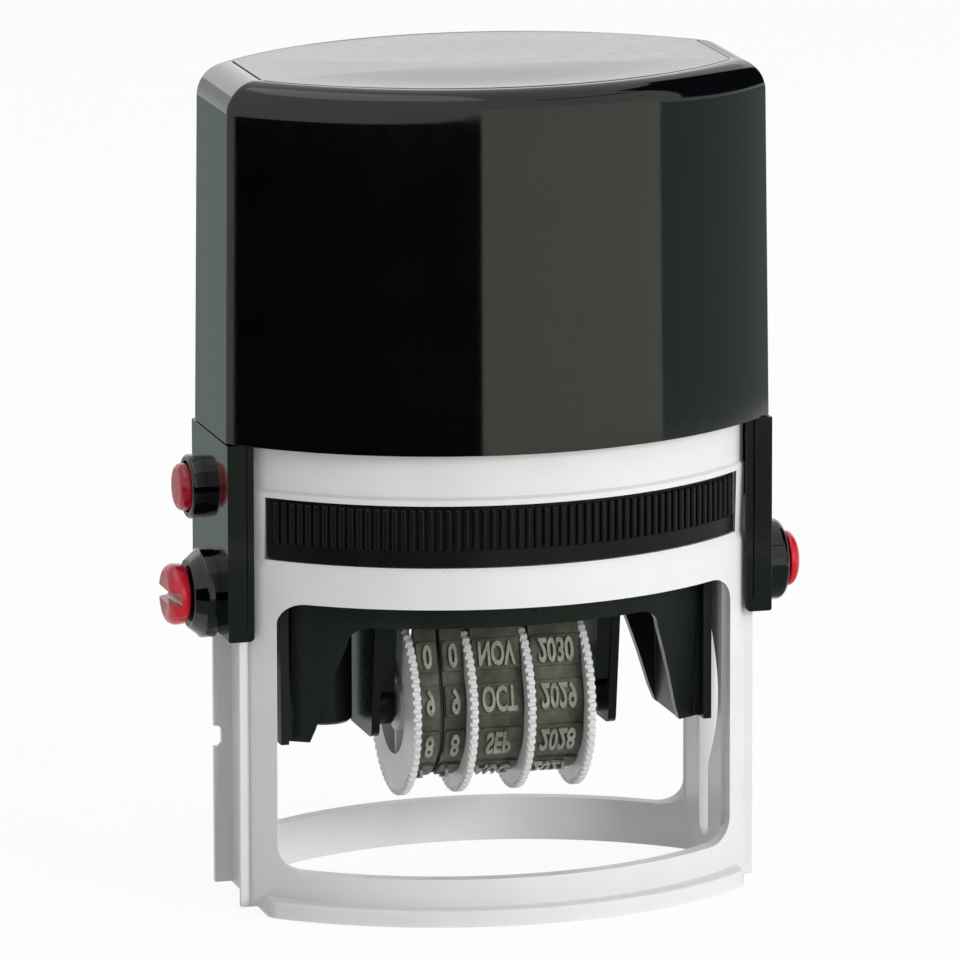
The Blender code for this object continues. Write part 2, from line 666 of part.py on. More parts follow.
def make_band(body, name, low, high):
    length = 2 * sum(belt_run()[1])
    half_block = TYPE_LENGTH / 2
    outer = []
    for block in range(2 * TYPE_PER_SIDE + 1):
        middle = block * TYPE_PITCH
        if block > TYPE_PER_SIDE:
            middle = length - (2 * TYPE_PER_SIDE + 1 - block) * TYPE_PITCH
        for share, offset in ((-half_block, 0), (-half_block * 0.94, TYPE_HEIGHT), (0, TYPE_HEIGHT),
                              (half_block * 0.94, TYPE_HEIGHT), (half_block, 0)):
            outer.append(belt_point(middle + share, offset))
        if block == TYPE_PER_SIDE:
            outer.append(belt_point(length / 2, 0))
    steps = 4 * (2 * TYPE_PER_SIDE + 1)
    inner = [belt_point(length * step / steps, -BAND_THICKNESS) for step in range(steps)]
    bm = bmesh.new()
    ends = ([], [])
    for outline in (outer, inner):
        low_ring, high_ring = [ring(bm, [(x, y, z) for y, z in outline]) for x in (low, high)]
        for i in range(len(outline)):
            bm.faces.new((low_ring[i - 1], low_ring[i], high_ring[i], high_ring[i - 1]))
            ends[0].append(bm.edges.get((low_ring[i - 1], low_ring[i])))
            ends[1].append(bm.edges.get((high_ring[i - 1], high_ring[i])))
    for edges in ends:
        bmesh.ops.triangle_fill(bm, use_beauty=True, use_dissolve=False, edges=edges)
    finish("date_band_" + name, bm, BAND_GREY, body)


def make_wheel(name, disc_x, band_low, band_high, parent):
    z = wheel_z()
    spin = joint_empty("joint_wheel_" + name, (disc_x, 0, z), parent)
    outline = []
    for tooth in range(WHEEL_TEETH):
        for share, radius in ((0.0, WHEEL_RADIUS - TOOTH_DEPTH), (0.10, WHEEL_RADIUS),
                              (0.52, WHEEL_RADIUS), (0.62, WHEEL_RADIUS - TOOTH_DEPTH)):
            angle = 2 * math.pi * (tooth + share) / WHEEL_TEETH
            outline.append((radius * math.cos(angle), z + radius * math.sin(angle)))
    half = WHEEL_THICKNESS / 2
    wheel = finish("date_wheel_" + name, prism(outline, disc_x - half, disc_x + half, "X"), WHEEL_WHITE, spin)
    if disc_x < band_low:
        drum_low, drum_high = disc_x, band_high
    else:
        drum_low, drum_high = band_low, disc_x
    drum = turned([(drum_low, DRUM_RADIUS), (drum_high, DRUM_RADIUS)], 0, z)
    join(wheel, finish("guide_drum_" + name, drum))
    bore_radius = SHAFT_RADIUS + RUN_GAP
    bore = turned([(-CARRIER_HALF_LENGTH, bore_radius), (CARRIER_HALF_LENGTH, bore_radius)], 0, z)
    cut(wheel, finish("guide_bore_" + name, bore))


def make_date_frame(body):
    foot = AXLE_Z - CHEEK_FOOT_DROP
    top = platen_top()
    z = wheel_z()
    side = [(-CHEEK_FOOT_HALF_DEPTH, foot), (CHEEK_FOOT_HALF_DEPTH, foot),
            (CHEEK_TOP_HALF_DEPTH, AXLE_Z - 0.004), (CHEEK_TOP_HALF_DEPTH, top),
            (-CHEEK_TOP_HALF_DEPTH, top), (-CHEEK_TOP_HALF_DEPTH, AXLE_Z - 0.004)]
    outer_x = CHEEK_INNER_X + CHEEK_THICKNESS
    platen = rounded_rectangle(-PLATEN_HALF_DEPTH, top - PLATEN_THICKNESS, PLATEN_HALF_DEPTH, top,
                               PLATEN_EDGE)
    dater = finish("date_frame", prism(platen, -outer_x + 0.0005, outer_x - 0.0005, "X"), BLACK_SATIN, body)
    for end in (-1, 1):
        name = "left" if end < 0 else "right"
        low, high = sorted((end * CHEEK_INNER_X, end * outer_x))
        join(dater, finish("guide_side_" + name, prism(side, low, high, "X")))
        low, high = sorted((end * (CHEEK_INNER_X - 0.001), end * (CHEEK_INNER_X + CHEEK_RECESS)))
        recess = box((low, -CHEEK_TOP_HALF_DEPTH - FRAME_WALL, foot - FRAME_WALL),
                     (high, CHEEK_TOP_HALF_DEPTH + FRAME_WALL, CHEEK_RECESS_TOP))
        cut(dater, finish("guide_side_recess_" + name, recess))
    half = SHAFT_RADIUS + GAP
    snap = []
    for step in range(13):
        angle = math.pi * step / 12
        snap.append((half * math.cos(angle), z + half * math.sin(angle)))
    snap += [(-half, foot - 0.001), (half, foot - 0.001)]
    cut(dater, finish("guide_snap_slot", prism(snap, -CARRIER_HALF_LENGTH, CARRIER_HALF_LENGTH, "X")))
    shaft = turned([(-outer_x, SHAFT_RADIUS), (outer_x, SHAFT_RADIUS)], 0, z, 20)
    finish("wheel_shaft", shaft, SPRING_STEEL, body)


# ---------------------------------------------------------------- handle
def hood_section(z, inset=0.0):
    """Outline of the hood at a height, narrowing upwards and rounded over at the top."""
    rise = (z - HOOD_LOW) / (HOOD_TOP - HOOD_LOW)
    half = HOOD_HALF_LENGTH - HOOD_DRAFT_LENGTH * rise
    apex = HOOD_APEX - HOOD_DRAFT_APEX * rise
    end_climb = max(0.0, z - (HOOD_TOP - HOOD_END_ROUND))
    front_climb = max(0.0, z - (HOOD_TOP - HOOD_FRONT_ROUND))
    half -= HOOD_END_ROUND - math.sqrt(max(0.0, HOOD_END_ROUND ** 2 - end_climb ** 2))
    apex -= HOOD_FRONT_ROUND - math.sqrt(max(0.0, HOOD_FRONT_ROUND ** 2 - front_climb ** 2))
    radius = HOOD_RADIUS - (HOOD_APEX - apex)
    return oval(half - inset, apex - inset, radius - inset, HOOD_CORNER)


def make_hood(body):
    ceiling = HOOD_TOP - COVER_RIM - COVER_THICKNESS - GAP - HOOD_ROOF
    cover_seat = oval(COVER_HALF_LENGTH, COVER_APEX, COVER_RADIUS, COVER_CORNER)
    bm = bmesh.new()
    levels = [HOOD_LOW, HOOD_TOP - HOOD_END_ROUND]
    climb_steps = 6
    for step in range(1, climb_steps + 1):
        angle = math.pi / 2 * step / climb_steps
        levels.append(HOOD_TOP - HOOD_END_ROUND + HOOD_END_ROUND * math.sin(angle))
    sections = [level(hood_section(HOOD_LOW, HOOD_WALL), ceiling)]
    sections[0] = level(hood_section(ceiling, HOOD_WALL), ceiling)
    sections.append(level(hood_section(HOOD_LOW, HOOD_WALL), HOOD_LOW))
    sections += [level(hood_section(z), z) for z in levels]
    sections.append(level(cover_seat, HOOD_TOP))
    sections.append(level(cover_seat, ceiling + HOOD_ROOF))
    loft(bm, sections)
    finish("handle_cap", bm, BLACK_GLOSS, body)

    cover = oval(COVER_HALF_LENGTH - GAP, COVER_APEX - GAP, COVER_RADIUS - GAP, COVER_CORNER)
    plate = bmesh.new()
    seat = ceiling + HOOD_ROOF + GAP
    loft(plate, [level(cover, seat), level(cover, seat + COVER_THICKNESS)])
    finish("top_cover", plate, BLACK_GLOSS, body)
    return ceiling


def make_yoke(body, ceiling):
    bridge_top = ceiling - GAP
    bridge_low = bridge_top - BRIDGE_THICKNESS
    leg_top = HOOD_LOW - GAP
    plate_inner = YOKE_OUTER_X - YOKE_PLATE
    tongue_outer = HOOD_HALF_LENGTH - HOOD_DRAFT_LENGTH - HOOD_WALL - GAP
    yoke = finish("handle_yoke", box((-tongue_outer, -BRIDGE_HALF_DEPTH, bridge_low),
                                     (tongue_outer, BRIDGE_HALF_DEPTH, bridge_top)), BLACK_GLOSS, body)
    for side in (-1, 1):
        name = "left" if side < 0 else "right"
        outline = rounded_rectangle(-YOKE_HALF_DEPTH, YOKE_LOW, YOKE_HALF_DEPTH, leg_top, YOKE_CORNER, 2)
        low, high = sorted((side * (FRAME_HALF_LENGTH + GAP), side * YOKE_OUTER_X))
        leg = finish("guide_leg_" + name, prism(outline, low, high, "X"))
        channel_half = YOKE_HALF_DEPTH - YOKE_FLANGE
        low, high = sorted((side * 0.030, side * plate_inner))
        channel = finish("guide_channel_" + name,
                         box((low, -channel_half, YOKE_LOW - 0.001), (high, channel_half, leg_top + 0.001)))
        cut(leg, channel)
        join(yoke, leg)
        low, high = sorted((side * TONGUE_INNER_X, side * tongue_outer))
        tongue = box((low, -TONGUE_HALF_DEPTH, TONGUE_LOW), (high, TONGUE_HALF_DEPTH, bridge_top - 0.0002))
        join(yoke, finish("guide_tongue_" + name, tongue))
        low, high = sorted((side * (tongue_outer - 0.0005), side * (plate_inner + 0.0005)))
        root = box((low, -TONGUE_HALF_DEPTH + 0.0002, TONGUE_LOW + 0.0002),
                   (high, TONGUE_HALF_DEPTH - 0.0002, leg_top - 0.0002))
        join(yoke, finish("guide_root_" + name, root))
    post = bmesh.new()
    post_levels = (bridge_low - SPRING_GUIDE_HEIGHT, bridge_low + 0.0005)
    loft(post, [circle_z(SPRING_POST_RADIUS, z) for z in post_levels])
    join(yoke, finish("guide_spring_guide", post))
    bore = BUSH_NECK_RADIUS + GAP
    bores = turned([(-HOOD_HALF_LENGTH - BUSH_HEIGHT, bore), (HOOD_HALF_LENGTH + BUSH_HEIGHT, bore)],
                   0, AXLE_Z)
    cut(yoke, finish("guide_bush_bores", bores))
    lock_bore = LOCK_STEM_RADIUS + GAP
    cut(yoke, finish("guide_lock_bore", turned([(-YOKE_OUTER_X - YOKE_PLATE, lock_bore),
                                                (-plate_inner + YOKE_PLATE, lock_bore)], LOCK_Y, LOCK_Z, 24)))
    return bridge_low


def make_spring(body, bridge_low):
    """The wire as one tube along a helix, with its least gap between turns printed."""
    low = DECK_LOW + DECK_THICKNESS + GAP + SPRING_WIRE
    high = bridge_low - GAP - SPRING_WIRE
    count = SPRING_TURNS * SPRING_POINTS_PER_TURN
    points = []
    for step in range(count + 1):
        angle = 2 * math.pi * step / SPRING_POINTS_PER_TURN
        z = low + (high - low) * step / count
        points.append(Vector((SPRING_RADIUS * math.cos(angle), SPRING_RADIUS * math.sin(angle), z)))
    least = min((points[i] - points[j]).length for i in range(count + 1)
                for j in range(i + SPRING_POINTS_PER_TURN // 2, count + 1)) - 2 * SPRING_WIRE
    print("return_spring: least gap between turns %.2f mm" % (least * 1000))
    curve = bpy.data.curves.new("return_spring", "CURVE")
    curve.dimensions = "3D"
    curve.bevel_depth = SPRING_WIRE
    curve.bevel_resolution = 1
    curve.use_fill_caps = True
    spline = curve.splines.new("POLY")
    spline.points.add(count)
    for target, point in zip(spline.points, points):
        target.co = (*point, 1.0)
    curve.materials.append(material(SPRING_STEEL))
    spring = bpy.data.objects.new("return_spring", curve)
    bpy.context.scene.collection.objects.link(spring)
    spring.location = -body.matrix_world.translation
    spring.parent = body


# ---------------------------------------------------------------- bushes, pins, lock
def make_left_pivot(body):
    face = -YOKE_OUTER_X - GAP
    inner = -YOKE_OUTER_X + YOKE_PLATE
    hole = AXLE_RADIUS + RUN_GAP
    bush = turned([(face, BUSH_RADIUS), (face - BUSH_FLAT, BUSH_RADIUS),
                   (face - BUSH_HEIGHT, BUSH_NOSE_RADIUS)], 0, AXLE_Z)
    bush = finish("axle_bush_left", bush, BLACK_GLOSS, body)
    neck = turned([(face - 0.0005, BUSH_NECK_RADIUS), (inner, BUSH_NECK_RADIUS)], 0, AXLE_Z)
    join(bush, finish("guide_bush_neck", neck))
    cut(bush, finish("guide_bush_hole", turned([(face - 2 * BUSH_HEIGHT, hole), (inner + BUSH_HEIGHT, hole)],
                                                0, AXLE_Z)))
    turn = joint_empty("joint_axle_knob", (-YOKE_OUTER_X, 0, AXLE_Z), body)
    nose = face - BUSH_HEIGHT - GAP
    tip = nose - KNOB_HEIGHT
    profile = [(-PIN_END_X, AXLE_RADIUS), (nose, AXLE_RADIUS), (nose, KNOB_RADIUS * 0.93),
               (nose - 0.0003, KNOB_RADIUS)]
    edge = 0.0012
    for step in range(5):
        angle = math.pi / 2 * step / 4
        profile.append((tip + edge - edge * math.sin(angle), KNOB_RADIUS - edge + edge * math.cos(angle)))
    knob = finish("axle_knob", turned(profile, 0, AXLE_Z), SIGNAL_RED, turn)
    half = COIN_SLOT_WIDTH / 2
    slot = box((tip - 0.001, -KNOB_RADIUS - 0.001, AXLE_Z - half),
               (tip + COIN_SLOT_DEPTH, KNOB_RADIUS + 0.001, AXLE_Z + half))
    cut(knob, finish("guide_coin_slot", slot))


def make_right_pivot(body):
    face = YOKE_OUTER_X + GAP
    inner = YOKE_OUTER_X - YOKE_PLATE
    hole = AXLE_RADIUS + RUN_GAP
    edge = 0.0010
    profile = [(face, RIGHT_BUSH_RADIUS)]
    for step in range(4):
        angle = math.pi / 2 * step / 3
        profile.append((face + RIGHT_BUSH_HEIGHT - edge + edge * math.sin(angle),
                        RIGHT_BUSH_RADIUS - edge + edge * math.cos(angle)))
    bush = finish("axle_bush_right", turned(profile, 0, AXLE_Z), BLACK_GLOSS, body)
    neck = turned([(inner, BUSH_NECK_RADIUS), (face + 0.0005, BUSH_NECK_RADIUS)], 0, AXLE_Z)
    join(bush, finish("guide_right_neck", neck))
    bore = turned([(inner - BUSH_HEIGHT, hole), (face + 2 * RIGHT_BUSH_HEIGHT, hole)], 0, AXLE_Z)
    cut(bush, finish("guide_right_hole", bore))
    nose = face + RIGHT_BUSH_HEIGHT + GAP
    profile = [(PIN_END_X, AXLE_RADIUS), (nose, AXLE_RADIUS), (nose, RIGHT_CAP_RADIUS)]
    for step in range(1, 5):
        angle = math.pi / 2 * step / 5
        profile.append((nose + RIGHT_CAP_HEIGHT * math.sin(angle), RIGHT_CAP_RADIUS * math.cos(angle)))
    finish("axle_pin_right", turned(profile, 0, AXLE_Z), SIGNAL_RED, body)


def make_lock(body):
    face = -YOKE_OUTER_X - GAP
    inner = -YOKE_OUTER_X + YOKE_PLATE
    edge = 0.0004
    bore = LOCK_BUTTON_RADIUS + GAP
    collar = turned([(face, LOCK_COLLAR_RADIUS), (face - LOCK_COLLAR_HEIGHT + edge, LOCK_COLLAR_RADIUS),
                     (face - LOCK_COLLAR_HEIGHT, LOCK_COLLAR_RADIUS - edge)], LOCK_Y, LOCK_Z)
    collar = finish("lock_collar", collar, BLACK_GLOSS, body)
    cut(collar, finish("guide_collar_hole", turned([(face - 2 * LOCK_COLLAR_HEIGHT, bore), (inner, bore)],
                                                 LOCK_Y, LOCK_Z)))
    push = joint_empty("joint_lock_button", (-YOKE_OUTER_X, LOCK_Y, LOCK_Z), body)
    head_low = face - LOCK_TRAVEL - GAP
    tip = -YOKE_OUTER_X - LOCK_BUTTON_HEIGHT
    stem_end = inner - LOCK_TRAVEL - GAP
    profile = [(stem_end, LOCK_STEM_RADIUS), (head_low, LOCK_STEM_RADIUS), (head_low, LOCK_BUTTON_RADIUS)]
    dome = 0.0009
    for step in range(6):
        angle = math.pi / 2 * step / 6
        profile.append((tip + dome - dome * math.sin(angle), LOCK_BUTTON_RADIUS * math.cos(angle) ** 0.5))
    finish("lock_button", turned(profile, LOCK_Y, LOCK_Z), SIGNAL_RED, push)


# ---------------------------------------------------------------- whole stamp
def main():
    clear_scene()
    make_base_frame()
    cassette_body = joint_empty("joint_cassette", (0, 0, SLOT_LOW))
    make_cassette(cassette_body)
    handle_body = joint_empty("joint_handle", (0, 0, AXLE_Z))
    ceiling = make_hood(handle_body)
    bridge_low = make_yoke(handle_body, ceiling)
    make_spring(handle_body, bridge_low)
    make_left_pivot(handle_body)
    make_right_pivot(handle_body)
    make_lock(handle_body)
    carrier_body = joint_empty("joint_carrier", (0, 0, AXLE_Z), handle_body)
    make_carrier(carrier_body)
    make_date_frame(carrier_body)
    for name, disc_x, band_low, band_high in DATER_TRACKS:
        make_wheel(name, disc_x, band_low, band_high, carrier_body)
        make_band(carrier_body, name, band_low, band_high)
    bpy.context.view_layer.update()


main()
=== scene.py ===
import math

import bmesh
import bpy
from mathutils import Matrix, Vector


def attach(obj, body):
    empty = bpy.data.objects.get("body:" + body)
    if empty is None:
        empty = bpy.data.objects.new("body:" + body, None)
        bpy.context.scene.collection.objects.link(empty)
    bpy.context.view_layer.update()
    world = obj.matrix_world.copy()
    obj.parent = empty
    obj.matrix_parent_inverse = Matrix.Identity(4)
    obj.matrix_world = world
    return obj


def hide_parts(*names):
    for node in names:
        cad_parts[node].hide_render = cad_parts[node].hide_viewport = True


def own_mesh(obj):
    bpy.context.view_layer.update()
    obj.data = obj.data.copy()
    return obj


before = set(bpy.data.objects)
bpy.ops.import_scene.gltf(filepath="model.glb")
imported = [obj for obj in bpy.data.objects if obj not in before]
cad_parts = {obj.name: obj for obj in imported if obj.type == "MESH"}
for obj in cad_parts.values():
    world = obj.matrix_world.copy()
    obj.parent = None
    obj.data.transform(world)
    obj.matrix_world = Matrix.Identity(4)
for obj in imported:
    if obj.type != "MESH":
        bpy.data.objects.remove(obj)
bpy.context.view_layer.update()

# Every shape below is drawn in millimetres and becomes metres when it is finished.
MM = 0.001
# The height, in metres, that the lights and the cards are placed round.
LOOK_HEIGHT = 0.06
UP = (0, 0, 1)
ACROSS = (1, 0, 0)


# ---------------------------------------------------------------- materials
def shader_of(name):
    made = bpy.data.materials.new(name)
    made.use_nodes = True
    return made, made.node_tree.nodes, made.node_tree.links, made.node_tree.nodes["Principled BSDF"]


def grain(nodes, links, scale, detail=4.0, rough=0.6):
    """Noise in the object's own space; scale is waves per metre."""
    place = nodes.new("ShaderNodeTexCoord")
    noise = nodes.new("ShaderNodeTexNoise")
    noise.inputs["Scale"].default_value = scale
    noise.inputs["Detail"].default_value = detail
    noise.inputs["Roughness"].default_value = rough
    links.new(place.outputs["Object"], noise.inputs["Vector"])
    return noise.outputs["Fac"]


def blend_colours(nodes, links, factor, stops):
    ramp = nodes.new("ShaderNodeValToRGB")
    ramp.color_ramp.elements[0].position = stops[0][0]
    ramp.color_ramp.elements[0].color = (*stops[0][1], 1)
    ramp.color_ramp.elements[1].position = stops[-1][0]
    ramp.color_ramp.elements[1].color = (*stops[-1][1], 1)
    for place, colour in stops[1:-1]:
        ramp.color_ramp.elements.new(place).color = (*colour, 1)
    links.new(factor, ramp.inputs["Fac"])
    return ramp.outputs["Color"]


def vary(nodes, links, factor, low, high):
    span = nodes.new("ShaderNodeMapRange")
    span.inputs["From Min"].default_value = 0.3
    span.inputs["From Max"].default_value = 0.7
    span.inputs["To Min"].default_value = low
    span.inputs["To Max"].default_value = high
    links.new(factor, span.inputs["Value"])
    return span.outputs["Result"]


def relief(nodes, links, shader, layers):
    """Adds up layers of (height, distance in metres, strength) as bumps."""
    previous = None
    for height, distance, strength in layers:
        bump = nodes.new("ShaderNodeBump")
        bump.inputs["Distance"].default_value = distance
        bump.inputs["Strength"].default_value = strength
        links.new(height, bump.inputs["Height"])
        if previous:
            links.new(previous, bump.inputs["Normal"])
        previous = bump.outputs["Normal"]
    links.new(previous, shader.inputs["Normal"])


def moulded_plastic(name, colour, lighter, roughness, waviness, texture, fleck=0.0, specular=0.5):
    """Injection-moulded plastic: slow waviness of the wall, fine tool texture, faint cloudiness."""
    made, nodes, links, shader = shader_of(name)
    cloud = grain(nodes, links, 90, 3)
    fine = grain(nodes, links, 2600, 3)
    wall = grain(nodes, links, 55, 2, 0.4)
    links.new(blend_colours(nodes, links, cloud, [(0.30, colour), (0.72, lighter)]),
              shader.inputs["Base Color"])
    links.new(vary(nodes, links, grain(nodes, links, 420, 4), roughness[0], roughness[1]),
              shader.inputs["Roughness"])
    layers = [(wall, 0.0004, waviness), (fine, 0.00004, texture)]
    if fleck:
        layers.append((grain(nodes, links, 900, 6, 0.75), 0.00006, fleck))
    relief(nodes, links, shader, layers)
    shader.inputs["IOR"].default_value = 1.5
    shader.inputs["Specular IOR Level"].default_value = specular
    return made


GLOSS_BLACK = moulded_plastic("gloss_black_plastic", (0.0012, 0.0015, 0.0020), (0.0020, 0.0024, 0.0030),
                              (0.045, 0.085), 0.010, 0.03)
COVER_BLACK = moulded_plastic("cover_black_plastic", (0.0012, 0.0015, 0.0020), (0.0020, 0.0024, 0.0030),
                              (0.13, 0.18), 0.010, 0.05)
SATIN_BLACK = moulded_plastic("satin_black_plastic", (0.0085, 0.0115, 0.0090), (0.0125, 0.0160, 0.0130),
                              (0.26, 0.36), 0.03, 0.14, specular=0.22)
GRIP_BLACK = moulded_plastic("grip_black_plastic", (0.0026, 0.0034, 0.0030), (0.0050, 0.0060, 0.0054),
                             (0.22, 0.30), 0.03, 0.10, specular=0.26)
STONE_GREY = moulded_plastic("stone_grey_plastic", (0.672, 0.672, 0.664), (0.712, 0.712, 0.704),
                             (0.34, 0.44), 0.03, 0.22, 0.10)
SIGNAL_RED = moulded_plastic("signal_red_plastic", (0.470, 0.0070, 0.0200), (0.560, 0.0100, 0.0270),
                             (0.13, 0.20), 0.02, 0.05)
DIAL_WHITE = moulded_plastic("dial_white_plastic", (0.60, 0.61, 0.60), (0.72, 0.73, 0.72),
                             (0.30, 0.42), 0.04, 0.22, 0.10)


def band_rubber():
    """Grey-green rubber, darkened unevenly at random by dried ink."""
    made, nodes, links, shader = shader_of("band_rubber")
    stain = grain(nodes, links, 260, 8, 0.7)
    links.new(blend_colours(nodes, links, stain, [
        (0.28, (0.016, 0.018, 0.011)), (0.46, (0.046, 0.049, 0.033)),
        (0.60, (0.080, 0.083, 0.060)), (0.78, (0.135, 0.139, 0.104))]), shader.inputs["Base Color"])
    links.new(vary(nodes, links, grain(nodes, links, 700, 5), 0.34, 0.62), shader.inputs["Roughness"])
    relief(nodes, links, shader, [(grain(nodes, links, 1800, 6, 0.7), 0.00009, 0.55),
                                  (stain, 0.00018, 0.35)])
    shader.inputs["IOR"].default_value = 1.48
    return made


def type_rubber():
    """The raised faces of the type, rubbed lighter than the band around them."""
    made, nodes, links, shader = shader_of("type_rubber")
    stain = grain(nodes, links, 420, 8, 0.7)
    links.new(blend_colours(nodes, links, stain, [
        (0.26, (0.090, 0.094, 0.072)), (0.50, (0.210, 0.216, 0.176)),
        (0.76, (0.360, 0.366, 0.312))]), shader.inputs["Base Color"])
    links.new(vary(nodes, links, grain(nodes, links, 900, 5), 0.30, 0.55), shader.inputs["Roughness"])
    relief(nodes, links, shader, [(grain(nodes, links, 2200, 6, 0.7), 0.00007, 0.5)])
    return made


def plate_rubber():
    made, nodes, links, shader = shader_of("plate_rubber")
    stain = grain(nodes, links, 160, 6, 0.65)
    links.new(blend_colours(nodes, links, stain, [
        (0.3, (0.150, 0.060, 0.045)), (0.55, (0.235, 0.105, 0.078)), (0.8, (0.300, 0.150, 0.112))]),
        shader.inputs["Base Color"])
    links.new(vary(nodes, links, grain(nodes, links, 800, 5), 0.42, 0.62), shader.inputs["Roughness"])
    relief(nodes, links, shader, [(grain(nodes, links, 2600, 5, 0.7), 0.00006, 0.5)])
    return made


def soaked_felt():
    """Felt full of ink: dark, fibrous, wet in places."""
    made, nodes, links, shader = shader_of("soaked_felt")
    wet = grain(nodes, links, 120, 5, 0.6)
    links.new(blend_colours(nodes, links, wet, [(0.3, (0.004, 0.004, 0.012)), (0.75, (0.016, 0.016, 0.034))]),
              shader.inputs["Base Color"])
    links.new(vary(nodes, links, wet, 0.38, 0.85), shader.inputs["Roughness"])
    relief(nodes, links, shader, [(grain(nodes, links, 3400, 8, 0.85), 0.00022, 0.9),
                                  (grain(nodes, links, 520, 4), 0.00030, 0.5)])
    return made


def drawn_steel():
    """Bright drawn wire with fine streaks along it and a few dull patches."""
    made, nodes, links, shader = shader_of("drawn_steel")
    patch = grain(nodes, links, 300, 5)
    links.new(blend_colours(nodes, links, patch, [(0.3, (0.44, 0.44, 0.45)), (0.7, (0.66, 0.66, 0.67))]),
              shader.inputs["Base Color"])
    shader.inputs["Metallic"].default_value = 1.0
    links.new(vary(nodes, links, patch, 0.18, 0.34), shader.inputs["Roughness"])
    relief(nodes, links, shader, [(grain(nodes, links, 3000, 3), 0.00002, 0.35)])
    return made


BAND = band_rubber()
TYPE = type_rubber()
PLATE = plate_rubber()
FELT = soaked_felt()
STEEL = drawn_steel()


# ---------------------------------------------------------------- shaping
def vertices(parts):
    return [part for part in parts if isinstance(part, bmesh.types.BMVert)]


def shift(bm, vec):
    bmesh.ops.translate(bm, verts=bm.verts, vec=vec)


def stretch(bm, vec):
    bmesh.ops.scale(bm, verts=bm.verts, vec=vec)


def rotate(bm, degrees, axis):
    matrix = Matrix.Rotation(math.radians(degrees), 3, axis)
    bmesh.ops.rotate(bm, verts=bm.verts, cent=(0, 0, 0), matrix=matrix)


def swing(bm, vert, centre, degrees, steps):
    """Draws an arc of edges by swinging one vertex round a centre; returns where it ends."""
    swung = bmesh.ops.spin(bm, geom=[vert], cent=centre, axis=UP, angle=math.radians(degrees), steps=steps,
                           use_merge=False, use_duplicate=False)
    return vertices(swung["geom_last"])[0]


def run_to(bm, vert, place):
    """Draws a straight edge on from a vertex."""
    new = bm.verts.new(place)
    bm.edges.new((vert, new))
    return new


def close_outline(bm):
    bmesh.ops.remove_doubles(bm, verts=bm.verts, dist=0.0005)
    return bmesh.ops.contextual_create(bm, geom=bm.edges[:])["faces"][0]


def oval_face(half, apex, radius, corner, z, steps, turns):
    """A flat face between a front and a back arc, with flat ends and rounded corners."""
    bm = bmesh.new()
    drop = radius - apex
    corner_x = half - corner
    corner_y = drop - math.sqrt((radius - corner) ** 2 - corner_x ** 2)
    reach = math.degrees(math.asin(corner_x / (radius - corner)))
    start_x = -radius * math.sin(math.radians(reach))
    start_y = drop - radius * math.cos(math.radians(reach))
    vert = bm.verts.new((start_x, start_y, z))
    vert = swing(bm, vert, (0, drop, z), 2 * reach, steps)
    vert = swing(bm, vert, (corner_x, corner_y, z), 90 - reach, turns)
    vert = run_to(bm, vert, (half, -corner_y, z))
    vert = swing(bm, vert, (corner_x, -corner_y, z), 90 - reach, turns)
    vert = swing(bm, vert, (0, -drop, z), 2 * reach, steps)
    vert = swing(bm, vert, (-corner_x, -corner_y, z), 90 - reach, turns)
    vert = run_to(bm, vert, (-half, corner_y, z))
    swing(bm, vert, (-corner_x, corner_y, z), 90 - reach, turns)
    return bm, close_outline(bm)


def lift(bm, face, rise, half_ratio=1.0, depth_ratio=1.0, draw_in=0.0):
    """Extrudes a face upwards, narrows it or draws its front and back in; returns the new face."""
    pulled = bmesh.ops.extrude_face_region(bm, geom=[face, *face.edges, *face.verts])["geom"]
    verts = vertices(pulled)
    bmesh.ops.translate(bm, verts=verts, vec=(0, 0, rise))
    bmesh.ops.scale(bm, verts=verts, vec=(half_ratio, depth_ratio, 1))
    for side in (-1, 1):
        on_side = [vert for vert in verts if vert.co.y * side > 0]
        bmesh.ops.translate(bm, verts=on_side, vec=(0, -side * draw_in, 0))
    return [part for part in pulled if isinstance(part, bmesh.types.BMFace)][0]


def oval_block(half, apex, radius, corner, low, high, steps, turns):
    bm, face = oval_face(half, apex, radius, corner, low, steps, turns)
    lift(bm, face, high - low)
    return bm


def block(low, high):
    bm = bmesh.new()
    bmesh.ops.create_cube(bm, size=1)
    stretch(bm, [b - a for a, b in zip(low, high)])
    shift(bm, [(a + b) / 2 for a, b in zip(low, high)])
    return bm


def bevel(bm, edges, width, segments):
    bmesh.ops.bevel(bm, geom=edges, offset=width, offset_type="OFFSET", segments=segments, profile=0.5,
                    affect="EDGES", material=-1, clamp_overlap=True)


def creases(bm, degrees):
    """The edges where two faces meet at more than an angle."""
    limit = math.radians(degrees)
    return [edge for edge in bm.edges if len(edge.link_faces) == 2 and edge.calc_face_angle(0) > limit]


def edges_where(edges, test):
    """Those of the edges that pass a test with the places of both their ends."""
    return [edge for edge in edges if all(test(vert.co) for vert in edge.verts)]


def round_edges(bm, width, segments, degrees=40):
    """Rounds the edges that are sharper than an angle."""
    bevel(bm, creases(bm, degrees), width, segments)


def upright_block(low, high, corner, segments, axis=2):
    """A block whose four edges along one axis are rounded."""
    bm = block(low, high)
    edges = []
    for edge in bm.edges:
        run = edge.verts[1].co - edge.verts[0].co
        if abs(run[axis]) > 0.9 * run.length:
            edges.append(edge)
    bevel(bm, edges, corner, segments)
    return bm


